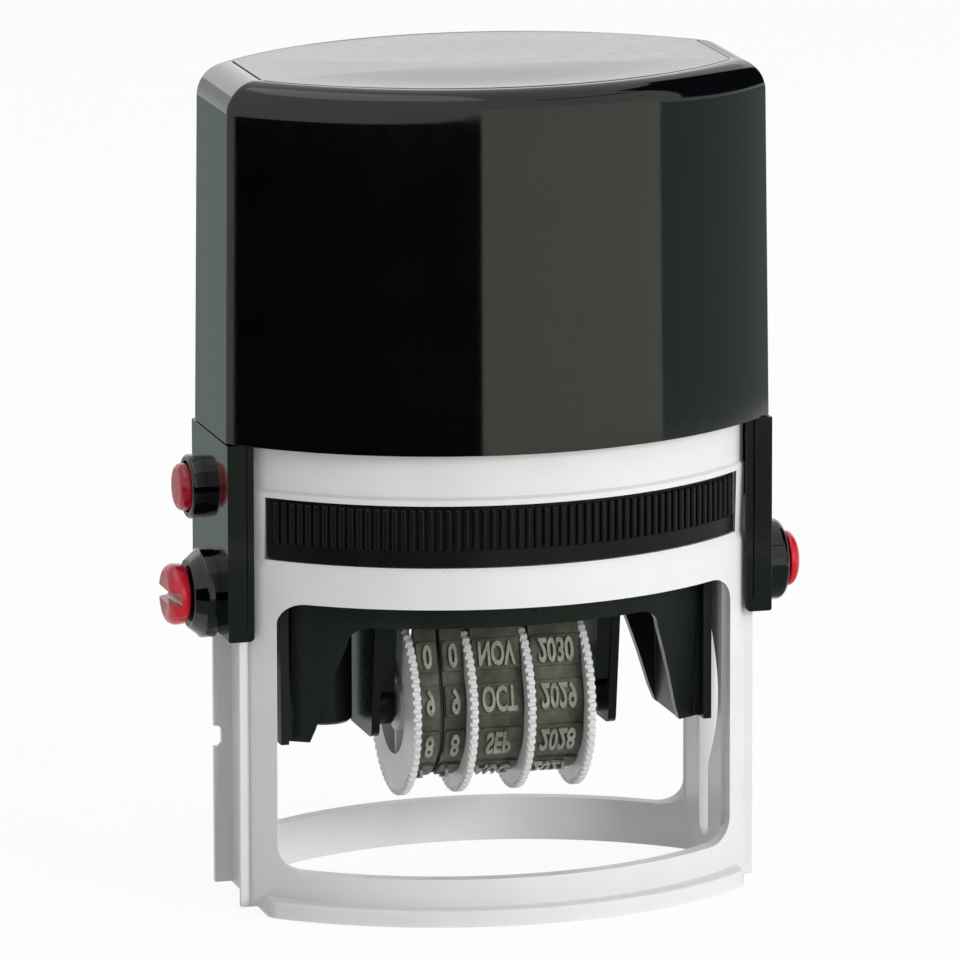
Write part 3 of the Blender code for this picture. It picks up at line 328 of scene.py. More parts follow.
def turned(profile, centre, steps, closed=False, axis="X"):
    """Spins a profile of (along, radius) about a line along X, or along Z."""
    bm = bmesh.new()
    if axis == "X":
        points = [(along, centre[0], centre[1] + radius) for along, radius in profile]
        middle, direction = (0, centre[0], centre[1]), ACROSS
    else:
        points = [(centre[0] + radius, centre[1], along) for along, radius in profile]
        middle, direction = (centre[0], centre[1], 0), UP
    verts = [bm.verts.new(point) for point in points]
    edges = [bm.edges.new(pair) for pair in zip(verts, verts[1:])]
    if closed:
        edges.append(bm.edges.new((verts[-1], verts[0])))
    bmesh.ops.spin(bm, geom=verts + edges, cent=middle, axis=direction, angle=2 * math.pi, steps=steps,
                   use_merge=True, use_duplicate=False)
    bmesh.ops.remove_doubles(bm, verts=bm.verts, dist=0.0005)
    bmesh.ops.holes_fill(bm, edges=[edge for edge in bm.edges if edge.is_boundary], sides=0)
    return bm


def rod(radius, low, high, centre, steps, axis="X"):
    return turned([(low, radius), (high, radius)], centre, steps, axis=axis)


def arc(centre, reach, start, end, steps):
    """Points on an arc of a circle or an ellipse, between two angles in degrees."""
    points = []
    for step in range(steps + 1):
        angle = math.radians(start + (end - start) * step / steps)
        points.append((centre[0] + reach[0] * math.cos(angle), centre[1] + reach[1] * math.sin(angle)))
    return points


def drawn(points, low, high, axis):
    """Extrudes an outline of (a, b) points along an axis."""
    place = {"X": lambda a, b, c: (c, a, b),
             "Y": lambda a, b, c: (a, c, b),
             "Z": lambda a, b, c: (a, b, c)}[axis]
    bm = bmesh.new()
    bm.faces.new([bm.verts.new(place(a, b, low)) for a, b in points])
    thicken(bm, Vector(place(0, 0, high)) - Vector(place(0, 0, low)))
    return bm


def thicken(bm, vec):
    """Extrudes a flat shape."""
    pulled = bmesh.ops.extrude_face_region(bm, geom=bm.faces[:])["geom"]
    bmesh.ops.translate(bm, verts=vertices(pulled), vec=vec)


def face_outwards(bm):
    bmesh.ops.recalc_face_normals(bm, faces=bm.faces)
    if bm.calc_volume(signed=True) < 0:
        bmesh.ops.reverse_faces(bm, faces=bm.faces)


def placed(name, bm):
    """Puts a shape into the scene as an object."""
    mesh = bpy.data.meshes.new(name)
    bm.to_mesh(mesh)
    bm.free()
    made = bpy.data.objects.new(name, mesh)
    bpy.context.scene.collection.objects.link(made)
    return made


def combine(operation, body, *tools):
    """Joins shapes onto a body or cuts them out of it."""
    guides = []
    for shape in (body, *tools):
        face_outwards(shape)
        guides.append(placed("guide", shape))
    for guide in guides[1:]:
        step = guides[0].modifiers.new("step", "BOOLEAN")
        step.operation = operation
        step.solver = "EXACT"
        step.object = guide
    result = guides[0].evaluated_get(bpy.context.evaluated_depsgraph_get())
    bm = bmesh.new()
    bm.from_mesh(result.to_mesh())
    result.to_mesh_clear()
    for guide in guides:
        mesh = guide.data
        bpy.data.objects.remove(guide)
        bpy.data.meshes.remove(mesh)
    bmesh.ops.remove_doubles(bm, verts=bm.verts, dist=0.0005)
    bmesh.ops.dissolve_degenerate(bm, edges=bm.edges, dist=0.0005)
    return bm


def cut(body, *tools):
    return combine("DIFFERENCE", body, *tools)


def join(body, *tools):
    return combine("UNION", body, *tools)


def mirrored(bm, axis):
    """The same shape on the other side of the middle."""
    twin = bm.copy()
    flip = Matrix.Identity(4)
    flip[axis][axis] = -1
    bmesh.ops.transform(twin, matrix=flip, verts=twin.verts)
    bmesh.ops.reverse_faces(twin, faces=twin.faces)
    return twin


def both_ends(*shapes):
    """The shapes as they stand and their twins at the other end of the stamp."""
    return [mirrored(shape, 0) for shape in shapes] + list(shapes)


def pour(shape, target):
    """Adds a shape to another one as a shell of its own."""
    mesh = bpy.data.meshes.new("shell")
    shape.to_mesh(mesh)
    shape.free()
    target.from_mesh(mesh)
    bpy.data.meshes.remove(mesh)


def gather(*shapes):
    """Several separate shells in one shape."""
    bm = bmesh.new()
    for shape in shapes:
        face_outwards(shape)
        pour(shape, bm)
    return bm


def finished(name, bm, material, body, slot, *nodes, sharp, even=True):
    """Makes the piece, in metres, and says what it rides on and which solids it stands for."""
    face_outwards(bm)
    stretch(bm, (MM, MM, MM))
    piece = placed(name, bm)
    piece.data.materials.append(material)
    piece.data.shade_smooth()
    piece.data.set_sharp_from_angle(angle=math.radians(sharp))
    if even:
        shading = piece.modifiers.new("even_shading", "WEIGHTED_NORMAL")
        shading.keep_sharp = True
    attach(piece, body)
    if nodes:
        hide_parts(*nodes)
    return piece


# ---------------------------------------------------------------- sizes in millimetres, as in the solids
# A line along X is written as its (depth, height).
AXLE = 44.6
AXLE_LINE = (0, AXLE)
HUB = 26.8
HUB_LINE = (0, HUB)
LOCK_LINE = (6.0, 58.8)
LOCK_POCKET = 3.72
# Radii of a dial's tips, of its drum and of the belt's outside on it; then the step from type to type.
DISC = 13.3
DRUM = 9.0
BELT = 10.3
PITCH = 6.44
# The platen's half depth and its rounding, and the radius of the belt's outside over that rounding.
PLATEN = 3.2
PLATEN_ROUND = 0.7
BEND = 2.0
PLATE_FACE = 51.0
PLATEN_TOP = PLATE_FACE - 0.8 - 1.0 - 0.3
ROOF = 49.2
LEG_OUTER = 40.0
LEG_INNER = 38.1
BUSH_BACK = LEG_OUTER + 0.02
BUSH_FACE = LEG_OUTER + 0.3
SLOT_LOW = 51.15
SLOT_HIGH = 60.2
DECK_TOP = 63.6
BRIDGE_LOW = 114.0
HOOD_LOW = 67.84
HOOD_TOP = 119.4


# ---------------------------------------------------------------- hood and cover
def make_hood():
    """A shell whose walls lean in a little, with a rounded crown and a seat for the cover."""
    full_half, full_depth = 39.9, 27.9
    end_lean, front_lean = 0.6, 0.8
    end_round, front_round = 4.7, 2.6
    crown = HOOD_TOP - 0.06
    shoulder = crown - end_round
    bm, face = oval_face(full_half, full_depth, 52.1, 0.9, HOOD_LOW, 120, 8)
    half, depth, level = full_half, full_depth, HOOD_LOW
    steps = 18
    for step in range(steps + 1):
        stop = shoulder + end_round * math.sin(math.pi / 2 * step / steps)
        rise = (stop - HOOD_LOW) / (HOOD_TOP - HOOD_LOW)
        end_climb = max(0.0, stop - shoulder)
        front_climb = max(0.0, stop - (crown - front_round))
        end_left = math.sqrt(max(0.0, end_round ** 2 - end_climb ** 2))
        front_left = math.sqrt(max(0.0, front_round ** 2 - front_climb ** 2))
        new_half = full_half - end_lean * rise - end_round + end_left
        new_depth = full_depth - front_lean * rise - front_round + front_left
        face = lift(bm, face, stop - level, new_half / half, new_depth / depth)
        half, depth, level = new_half, new_depth, stop
    seat_half, seat_depth = 34.45, 24.3
    face = lift(bm, face, 0, seat_half / half, seat_depth / depth)
    face = lift(bm, face, -0.1, (seat_half - 0.1) / seat_half, (seat_depth - 0.1) / seat_depth)
    lift(bm, face, -1.5)
    inner_half, inner_depth = 38.5, 26.5
    hollow = oval_block(inner_half, inner_depth, 50.7, 0.9, HOOD_LOW - 1, 116.1, 120, 8)
    inner_top = [vert for vert in hollow.verts if vert.co.z > HOOD_LOW]
    bmesh.ops.scale(hollow, verts=inner_top, vec=(37.7 / inner_half, 25.6 / inner_depth, 1))
    bm = cut(bm, hollow)
    bevel(bm, edges_where(creases(bm, 57.3), lambda at: abs(at.z - HOOD_LOW) < 0.01), 0.08, 2)
    finished("hood", bm, GLOSS_BLACK, "handle", "black_gloss", "handle_cap", sharp=30)


def make_cover():
    """The lid in the hood's rim, hollowed a little for the palm."""
    low, hollow, steps = 118.0, 0.5, 28
    bm, face = oval_face(34.1, 23.95, 46.55, 1.2, low, 120, 6)
    face = lift(bm, face, HOOD_TOP - low)
    reach, dip = 1.0, 0.0
    for step in range(1, steps + 1):
        share = step / steps
        new_reach, new_dip = 1 - share * 0.96, hollow * math.sin(math.pi / 2 * share) ** 2
        face = lift(bm, face, dip - new_dip, new_reach / reach, new_reach / reach)
        reach, dip = new_reach, new_dip
    bevel(bm, edges_where(creases(bm, 57.3), lambda at: at.z > HOOD_TOP - 0.1), 0.16, 4)
    finished("hood_cover", bm, COVER_BLACK, "handle", "black_gloss", "top_cover", sharp=30)


# ---------------------------------------------------------------- legs of the handle
def make_leg(with_lock):
    """A plate below the hood with two stepped flanges, each with a groove that sets off a strip."""
    low, flange = 39.4, 36.2
    plan = [(flange, -10.7), (LEG_OUTER, -10.7), (LEG_OUTER, 10.7), (flange, 10.7), (flange, 9.7),
            (36.9, 9.7), (36.9, 8.7), (LEG_INNER, 8.7), (LEG_INNER, -8.7), (36.9, -8.7), (36.9, -9.7),
            (flange, -9.7)]
    leg = drawn(plan, low, 67.7, "Z")
    for x, width in ((flange, 0.8), (LEG_OUTER, 0.35)):
        corners = edges_where(leg.edges, lambda at: abs(at.z - low) < 0.01 and abs(at.x - x) < 0.01)
        bevel(leg, corners, width, 5)
    tools = [rod(3.7, 33, 45, AXLE_LINE, 48)]
    for front in (-1, 1):
        near, far = sorted((front * 10.45, front * 12))
        tools.append(block((37.15, near, 41.2), (37.35, far, 70)))
    if with_lock:
        tools.append(rod(LOCK_POCKET, 33, 45, LOCK_LINE, 40))
    leg = cut(leg, *tools)
    round_edges(leg, 0.1, 3)
    return leg


def make_yoke():
    """The two legs, and inside the hood the arms and the bridge that join them."""
    arm = join(block((35.7, -6.8, 60.0), (37.6, 6.8, 114.9)), block((37.3, -6.6, 60.1), (38.6, 6.6, 67.3)))
    guide = rod(4.2, 110.0, 115.0, (0, 0), 40, axis="Z")
    bridge = join(block((-37.6, -8.0, BRIDGE_LOW), (37.6, 8.0, 115.8)), guide, *both_ends(arm))
    bridge = cut(bridge, rod(LOCK_POCKET, -45, -38.15, LOCK_LINE, 40))
    round_edges(bridge, 0.2, 2)
    legs = gather(mirrored(make_leg(with_lock=True), 0), make_leg(with_lock=False), bridge)
    finished("handle_legs", legs, GLOSS_BLACK, "handle", "black_gloss", "handle_yoke", sharp=36)


# ---------------------------------------------------------------- axle ends and lock
def make_axle_ends():
    """The bush and the slotted knob on the left, and the bush and the pin's cap on the right."""
    face, back = -BUSH_FACE, -BUSH_BACK
    profile = [(back, 6.4), (face - 1.35, 6.4), (face - 1.55, 6.3), (face - 1.68, 6.1),
               (face - 2.95, 5.05), (face - 3.15, 4.85), (face - 3.2, 4.65), (face - 3.2, 2.25),
               (-LEG_INNER, 2.25), (-LEG_INNER, 3.4), (back, 3.4)]
    bush = turned(profile, AXLE_LINE, 72, closed=True)
    finished("axle_bush_front_end", bush, GLOSS_BLACK, "handle", "black_gloss", "axle_bush_left", sharp=40)

    nose = face - 3.5
    tip, rim, edge = nose - 3.0, 4.38, 1.5
    profile = [(-27.7, 1.5), (-28.0, 1.8), (nose, 1.8), (nose, 3.9), (nose - 0.15, 4.12), (nose - 0.6, 4.3),
               *arc((tip + edge, rim - edge), (edge, edge), 90, 180, 10), (tip, 0.6)]
    knob = turned(profile, AXLE_LINE, 80)
    slot = upright_block((tip - 2, -6, AXLE - 0.95), (tip + 1.7, 6, AXLE + 0.95), 0.5, 5, axis=1)
    knob = cut(knob, slot)
    round_edges(knob, 0.2, 3, 45)
    finished("coin_slot_knob", knob, SIGNAL_RED, "knob", "signal_red", "axle_knob", sharp=40)

    face, back = BUSH_FACE, BUSH_BACK
    tip, rim, edge = face + 4.1, 5.85, 1.1
    profile = [(LEG_INNER, 2.25), (face + 4.3, 2.25), (face + 4.3, 3.9), (face + 4.05, 4.15), (tip, 4.5),
               *arc((tip - edge, rim - edge), (edge, edge), 0, 90, 7), (back, rim), (back, 3.4),
               (LEG_INNER, 3.4)]
    bush = turned(profile, AXLE_LINE, 72, closed=True)
    finished("axle_bush_far_end", bush, GLOSS_BLACK, "handle", "black_gloss", "axle_bush_right", sharp=40)

    nose = face + 4.6
    profile = [(27.7, 1.5), (28.0, 1.8), (nose, 1.8), (nose, 3.85), (nose + 0.15, 4.0),
               *arc((nose + 0.45, 0), (1.6, 4.0), 90, 6.27907, 8)]
    finished("axle_pin_cap", turned(profile, AXLE_LINE, 64), SIGNAL_RED, "handle", "signal_red",
             "axle_pin_right", sharp=40)


def make_lock():
    """The ring round the button's hole, and the button with its rounded rim."""
    face, back = -BUSH_FACE, -BUSH_BACK
    profile = [(back, 4.6), (face - 1.3, 4.6), (face - 1.6, 4.48), (face - 1.75, 4.25), (face - 1.8, 4.0),
               (face - 1.7, 3.75), (back, 3.75)]
    finished("lock_ring", turned(profile, LOCK_LINE, 64, closed=True), GLOSS_BLACK, "handle", "black_gloss",
             "lock_collar", sharp=40)
    tip, rim, edge = -43.6, 3.4, 1.0
    profile = [(-39.4, 2.0), (-39.5, 2.4), (face - 1.3, 2.4), (face - 1.3, rim),
               *arc((tip + edge, rim - edge), (edge, edge), 90, 180, 8), (tip, 0.5)]
    finished("lock_push_button", turned(profile, LOCK_LINE, 64), SIGNAL_RED, "lock", "signal_red",
             "lock_button", sharp=40)


# ---------------------------------------------------------------- base frame
def cam_outline():
    """The slot that the axle slides in, with a leaf-shaped pocket on its front, as (depth, height)."""
    half, leaf = 2.2, 5.1
    pocket_top, pocket_height = 38.0, 22.5
    points = arc((0, AXLE + 2.6 - half), (half, half), 0, 180, 12)
    for step in range(21):
        share = step / 20
        points.append((-half - leaf * math.sin(math.pi * share), pocket_top - pocket_height * share))
    return points + arc((0, 4.2 + half), (half, half), 180, 360, 12)


def make_base():
    """The oval body with its foot, end ribs, windows, cassette slot, cam slots and spring deck."""
    # Rise and draft: the wall steps in below the cassette's slot, out again behind it and in above it.
    wall = ((49.35, 0.0), (0.9, 0.6), (0.6, 0.0), (8.55, -0.6), (1.0, 0.0), (0.35, 0.6), (14.05, 0.0))
    body, face = oval_face(36.4, 25.4, 48.4, 1.0, 0.6, 110, 4)
    for rise, draw_in in wall:
        face = lift(body, face, rise, draw_in=draw_in)
    foot = oval_block(35.2, 27.94, 51.66, 3.0, 0.0, 2.4, 110, 8)
    bevel(foot, edges_where(foot.edges, lambda at: at.z > 2.3), 0.5, 4)
    rib = block((34.6, 7.0, 0.3), (37.84, 8.3, 56.0))
    body = join(body, foot, *both_ends(mirrored(rib, 1), rib))

    inside = oval_block(33.0, 23.3, 46.3, 1.0, -2, 80, 110, 4)
    end_recesses = [block((-40, -7.3, -1), (-35.3, 7.3, 81)), block((35.3, -7.3, -1), (40, 7.3, 81))]
    notch = [(-40, 20.2), (-37.2, 20.2), (-36.72, 20.75), (-36.72, 22.7), (-37.2, 23.3), (-40, 23.3)]
    tools = [inside, *end_recesses, drawn(cam_outline(), -40, 40, "X"), drawn(notch, 5, 9.2, "Y")]
    for front, slot_half in ((-1, 34.6), (1, 32.7)):
        near, far = sorted((front * 9.7, front * 32))
        tools += [upright_block((-33.4, near, 6.3), (33.4, far, 45.3), 3.6, 8, axis=1),
                  block((-slot_half, near, SLOT_LOW), (slot_half, far, SLOT_HIGH))]
    body = cut(body, *tools)

    deck = oval_block(34.2, 24.4, 47.4, 1.0, 62.0, DECK_TOP, 110, 4)
    post = turned([(62.6, 4.2), (67.6, 4.2), (68.4, 3.4)], (0, 0), 40, axis="Z")
    runners = []
    for side in (-1, 1):
        low, high = sorted((side * 32.0, side * 33.6))
        runners.append(block((low, -8.2, 49.95), (high, 8.2, SLOT_LOW)))
    body = join(body, deck, post, *runners)
    round_edges(body, 0.22, 3)
    finished("base_body", body, STONE_GREY, "frame", "light_grey", "base_frame", sharp=34)


# ---------------------------------------------------------------- ink cassette
def make_cassette():
    """A tray, open below, with a ribbed grip plate across its front, and the felt in it."""
    low, high = 51.45, 59.9
    body = oval_block(32.4, 24.8, 47.8, 1.0, low, high, 90, 4)
    for apex, radius, top in ((24.9, 47.9, high), (25.15, 48.15, low + 2.35)):
        plate = oval_block(34.25, apex, radius, 1.0, low, top, 110, 4)
        body = join(body, cut(plate, block((-40, -10.0, 40), (40, 40, 70))))
    body = cut(body, oval_block(30.6, 21.2, 44.2, 1.0, low - 1, high - 2.1, 90, 4))
    round_edges(body, 0.18, 2)
    count, reach, arc_centre = 59, 48.4, 23.0
    half_angle = math.degrees(math.asin(33.9 / reach))
    ribs = bmesh.new()
    for index in range(count):
        rib = block((-0.47, -reach, 53.745), (0.47, 1.1 - reach, 59.695))
        bevel(rib, edges_where(rib.edges, lambda at: at.y < 0.4 - reach), 0.4, 5)
        rotate(rib, -half_angle + 2 * half_angle * (index + 0.5) / count, "Z")
        shift(rib, (0, arc_centre, 0))
        pour(rib, ribs)
    finished("cassette_body", gather(body, ribs), GRIP_BLACK, "cassette", "black_satin", "pad_cassette",
             sharp=36)
    pad = oval_block(30.2, 20.8, 43.8, 1.0, 53.0, 57.45, 90, 6)
    round_edges(pad, 0.5, 3)
    felt = finished("ink_felt", pad, FELT, "cassette", "ink_felt", "ink_pad", sharp=50)


# ---------------------------------------------------------------- plate carrier
def arch_points(feet):
    """Front and back arch of the skirt: splayed legs under a rounded head."""
    half = [(27.3, feet - 1), (27.3, feet), (26.6, 25.4), (25.3, 30.4), (24.3, 33.8), (23.4, 36.6),
            *arc((19.6, 38.5), (3.2, 2.4), 0, 90, 7)]
    return half + [(-a, b) for a, b in reversed(half)]


def make_carrier():
    """An oval skirt with an arch in its front and back, a web and a plate at each end, and a catch post."""
    feet = AXLE - 21.2
    skirt = oval_block(30.1, 17.7, 47.0, 1.0, feet, ROOF, 90, 5)
    inner = oval_block(27.4, 15.9, 45.2, 1.0, feet - 1, ROOF - 1.6, 90, 5)
    opening = block((-18.4, -8.9, ROOF - 4), (18.4, 8.9, ROOF + 1))
    skirt = cut(skirt, inner, drawn(arch_points(feet), -30, 30, "Y"), opening)
    # Below the last of these levels the legs slant in towards the middle.
    slant_top, slant = 42.0, 0.22
    for level in (27, 32, 37, slant_top):
        everything = skirt.verts[:] + skirt.edges[:] + skirt.faces[:]
        bmesh.ops.bisect_plane(skirt, geom=everything, plane_co=(0, 0, level), plane_no=UP)
    for vert in skirt.verts:
        if vert.co.z < slant_top:
            vert.co.y *= 1 - slant * (slant_top - vert.co.z) / (slant_top - feet)
    web = block((29.6, -6.0, feet + 0.2), (30.8, 6.0, ROOF - 0.2))
    plate = block((30.6, -8.0, feet + 0.1), (31.8, 8.0, ROOF - 0.1))
    skirt = join(skirt, *both_ends(join(web, plate)))
    skirt = cut(skirt, rod(2.2, -36, 36, AXLE_LINE, 40))
    post = turned([(24.3, 3.7), (24.7, 4.1), (ROOF - 0.8, 4.1)], (-22.8, 3.0), 44, axis="Z")
    skirt = join(skirt, post)
    round_edges(skirt, 0.22, 2)
    finished("carrier_skirt", skirt, SATIN_BLACK, "carrier", "black_satin", "plate_carrier", sharp=36)


def ellipse_block(half, depth, low, high):
    bm = bmesh.new()
    bmesh.ops.create_circle(bm, cap_ends=True, radius=1, segments=96)
    stretch(bm, (half, depth, 1))
    shift(bm, (0, 0, low))
    lift(bm, bm.faces[:][0], high - low)
    return bm


def make_plate():
    """An oval plate with two raised rings, rows of raised bars and a window for the date."""
    body = ellipse_block(27.5, 17.2, ROOF + 0.3, PLATE_FACE)
    body = cut(body, ellipse_block(26.7, 16.4, PLATE_FACE - 0.7, PLATE_FACE + 1))
    ring = cut(ellipse_block(25.9, 15.6, PLATE_FACE - 0.9, PLATE_FACE), ellipse_block(25.5, 15.2, 45, 55))
    body = cut(join(body, ring), block((-14.6, -5.3, 45), (14.6, 5.3, 55)))
    lengths, space = (2.6, 1.7, 3.4, 2.1), 0.8
    bars = []
    for row, half in ((12.4, 11.0), (9.4, 17.0), (6.7, 20.0)):
        for side in (-1, 1):
            start, index = -half, 0
            while start < half - 1.2:
                end = min(start + lengths[index % 4], half)
                bars.append(upright_block((start, side * row - 0.75, PLATE_FACE - 0.9),
                                          (end, side * row + 0.75, PLATE_FACE), 0.25, 2))
                start, index = end + space, index + 1
    finished("printing_plate", gather(body, *bars), PLATE, "carrier", "plate_rubber", "text_plate", sharp=36)


# ---------------------------------------------------------------- dater
def make_date_frame():
    """The bridge that carries the dials: two cheeks with a stepped inner block, and the platen between them."""
    foot, shoulder, top = AXLE - 21.3, AXLE - 4, PLATEN_TOP
    cheek_side = [(-6.2, foot + 0.9), (-5.9, foot + 0.35), (-5.2, foot), (5.4, foot), (6.0, foot + 0.6),
                  (8.6, shoulder), (8.6, top), (-8.6, top), (-8.6, shoulder)]
    block_side = [(-8.45, top - 0.1), (-8.45, shoulder - 0.1), (-6.65, 30.0), (3.0, 30.0), (3.0, top - 0.1)]
    cheek = drawn(cheek_side, 16.9, 18.1, "X")
    inner = drawn(block_side, 14.8, 17.4, "X")
    boss = turned([(13.6, 2.7), (13.9, 3.0), (17.4, 3.0)], HUB_LINE, 44)
    platen = upright_block((-17.6, -PLATEN, top - 1.9), (17.6, PLATEN, top), PLATEN_ROUND, 4, axis=0)
    whole = join(platen, *both_ends(cheek, inner, boss))
    whole = cut(whole, rod(1.52, -17.3, 17.3, HUB_LINE, 40))
    round_edges(whole, 0.12, 2)
    finished("dater_bridge", whole, GRIP_BLACK, "carrier", "black_satin", "date_frame", sharp=36)
    shaft = rod(1.5, -17.25, 17.25, HUB_LINE, 40)
    finished("dater_shaft", shaft, STEEL, "carrier", "steel", "wheel_shaft", sharp=40)


def toothed_disc(middle, half, teeth=66, tooth=0.8):
    """A flat disc on the dials' shaft with square teeth round its rim."""
    bm = bmesh.new()
    bmesh.ops.create_circle(bm, cap_ends=True, radius=DISC - tooth, segments=2 * teeth)
    rotate(bm, 90, "Y")
    shift(bm, (middle - half, 0, HUB))
    thicken(bm, (2 * half, 0, 0))
    rims = [face for face in bm.faces if len(face.verts) == 4]
    rims.sort(key=lambda face: math.atan2(face.calc_center_median().z - HUB, face.calc_center_median().y))
    for rim in rims[::2]:
        grown = bmesh.ops.extrude_discrete_faces(bm, faces=[rim])["faces"][0]
        centre = grown.calc_center_median()
        out = Vector((0, centre.y, centre.z - HUB)).normalized()
        bmesh.ops.translate(bm, verts=grown.verts, vec=out * tooth)
        bmesh.ops.scale(bm, verts=grown.verts, vec=(0.9, 1, 1), space=Matrix.Translation((-middle, 0, 0)))
        bevel(bm, list(grown.edges), 0.13, 2)
    return bm


def make_wheel(name, middle, band_low, band_high):
    """A dial with a recessed, spoked outer face, and the drum that drives the band beside it."""
    half = 0.55
    outside = -1 if middle < band_low else 1

    def span(start, end):
        """Two depths below the outer face of the dial, as a low and a high place along the shaft."""
        return sorted(middle + outside * half - outside * depth for depth in (start, end))

    drum_low, drum_high = sorted((middle, band_high if outside < 0 else band_low))
    bm = join(toothed_disc(middle, half), rod(DRUM, drum_low, drum_high, HUB_LINE, 72))
    low, high = span(-1, 2.2)
    ring = turned([(low, 7.3), (high, 7.3), (high, 3.9), (low, 3.9)], HUB_LINE, 72, closed=True)
    step = rod(3.95, *span(-1, 0.35), HUB_LINE, 48)
    bm = cut(bm, ring, step, rod(1.9, -30, 30, HUB_LINE, 40))
    low, high = span(0.55, 2.3)
    spokes = []
    for degrees in (30, 150, 270):
        spoke = block((low, 3.6, -0.32), (high, 7.6, 0.32))
        rotate(spoke, degrees, "X")
        shift(spoke, (0, 0, HUB))
        spokes.append(spoke)
    bm = join(bm, *spokes)
    finished("dial_" + name, bm, DIAL_WHITE, "wheel_" + name, "wheel_white", "date_wheel_" + name, sharp=36)


def belt_lengths():
    """The straights' angle, the height of the bends' centres, and the lengths of half the belt's stretches."""
    edge_y = PLATEN - PLATEN_ROUND
    edge_z = PLATEN_TOP - PLATEN_ROUND
    run = math.hypot(edge_y, edge_z - HUB)
    tangent = math.atan2(edge_z - HUB, edge_y) - math.acos((BELT - BEND) / run)
    straight = math.sqrt(run ** 2 - (BELT - BEND) ** 2)
    return tangent, edge_z, (edge_y, BEND * (math.pi / 2 - tangent), straight, BELT * (tangent + math.pi / 2))


def belt_place(path, offset=0.0):
    """Point on the belt and its outward direction, a distance along it from the middle of the platen."""
    tangent, edge_z, (top, bend, straight, wrap) = belt_lengths()
    half = top + bend + straight + wrap
    path = path % (2 * half)
    flip = path > half
    if flip:
        path = 2 * half - path
    if path < top:
        y, z, normal = path, edge_z + BEND, math.pi / 2
    elif path < top + bend:
        normal = math.pi / 2 - (path - top) / BEND
        y, z = top + BEND * math.cos(normal), edge_z + BEND * math.sin(normal)
    elif path < top + bend + straight:
        normal = tangent
        share = (path - top - bend) / straight
        y = (top + BEND * math.cos(normal)) * (1 - share) + BELT * math.cos(normal) * share
        z = (edge_z + BEND * math.sin(normal)) * (1 - share) + (HUB + BELT * math.sin(normal)) * share
    else:
        normal = tangent - (path - top - bend - straight) / BELT
        y, z = BELT * math.cos(normal), HUB + BELT * math.sin(normal)
    out = Vector((0, -math.cos(normal) if flip else math.cos(normal), math.sin(normal)))
    return Vector((0, -y if flip else y, z)) + out * offset, out


def follow_belt(bm, path):
    """Wraps a flat shape, drawn round the origin with its height in Z, onto the belt at a path length."""
    for vert in bm.verts:
        across, along, height = vert.co
        place = belt_place(path + along, height)[0]
        vert.co = Vector((across, place.y, place.z))


def belt_loop(low, high):
    """The smooth belt itself."""
    steps, thickness = 170, 0.95
    length = 2 * sum(belt_lengths()[2])
    bm = bmesh.new()
    rings = []
    for offset in (0.0, -thickness):
        points = [belt_place(length * step / steps, offset)[0] for step in range(steps)]
        verts = [bm.verts.new((low, point.y, point.z)) for point in points]
        rings += [bm.edges.new((verts[i - 1], verts[i])) for i in range(steps)]
    bmesh.ops.bridge_loops(bm, edges=rings)
    thicken(bm, (high - low, 0, 0))
    return bm


def lettering(word, width, height, widen):
    """Raised type lying flat round the origin, mirrored as type is, widened up to a width."""
    text = bpy.data.curves.new("type", "FONT")
    text.body = word
    text.align_x = "CENTER"
    text.align_y = "CENTER"
    text.size = 1.0
    text.extrude = 0.5
    text.offset = 0.030
    text.resolution_u = 3
    holder = bpy.data.objects.new("type", text)
    bpy.context.scene.collection.objects.link(holder)
    bpy.context.view_layer.update()
    mesh = bpy.data.meshes.new_from_object(holder.evaluated_get(bpy.context.evaluated_depsgraph_get()))
    bm = bmesh.new()
    bm.from_mesh(mesh)
    bpy.data.objects.remove(holder)
    bpy.data.curves.remove(text)
    bpy.data.meshes.remove(mesh)
    bmesh.ops.remove_doubles(bm, verts=bm.verts, dist=0.0001)
    xs = [vert.co.x for vert in bm.verts]
    ys = [vert.co.y for vert in bm.verts]
    drawn_width, drawn_height = max(xs) - min(xs), max(ys) - min(ys)
    shift(bm, (-(min(xs) + max(xs)) / 2, -(min(ys) + max(ys)) / 2, 0))
    stretch(bm, (min(width, widen * drawn_width) / drawn_width, -height / drawn_height, 1.0))
    bmesh.ops.reverse_faces(bm, faces=bm.faces)
    return bm


DAYS = ("1", "0", "9", "8", "7", "6", "5", "4", "3", "2")
MONTHS = ("JAN", "DEC", "NOV", "OCT", "SEP", "AUG", "JUL", "JUN", "MAY", "APR", "MAR", "FEB")
YEARS = ("2030", "2029", "2028", "2027", "2026", "2025", "2024", "2023", "2022", "2021")
# Name, middle of the dial, the band's two edges, its words, the one on the platen, its width and widening.
DATERS = (
    ("1", -12.95, -12.2, -8.95, DAYS, 8, 1.95, 2.6),
    ("2", -4.6, -8.4, -5.25, DAYS, 8, 1.95, 2.6),
    ("3", 3.9, -3.95, 3.25, MONTHS, 11, 5.6, 2.45),
    ("4", 12.75, 4.65, 12.1, YEARS, 7, 6.2, 2.6),
)


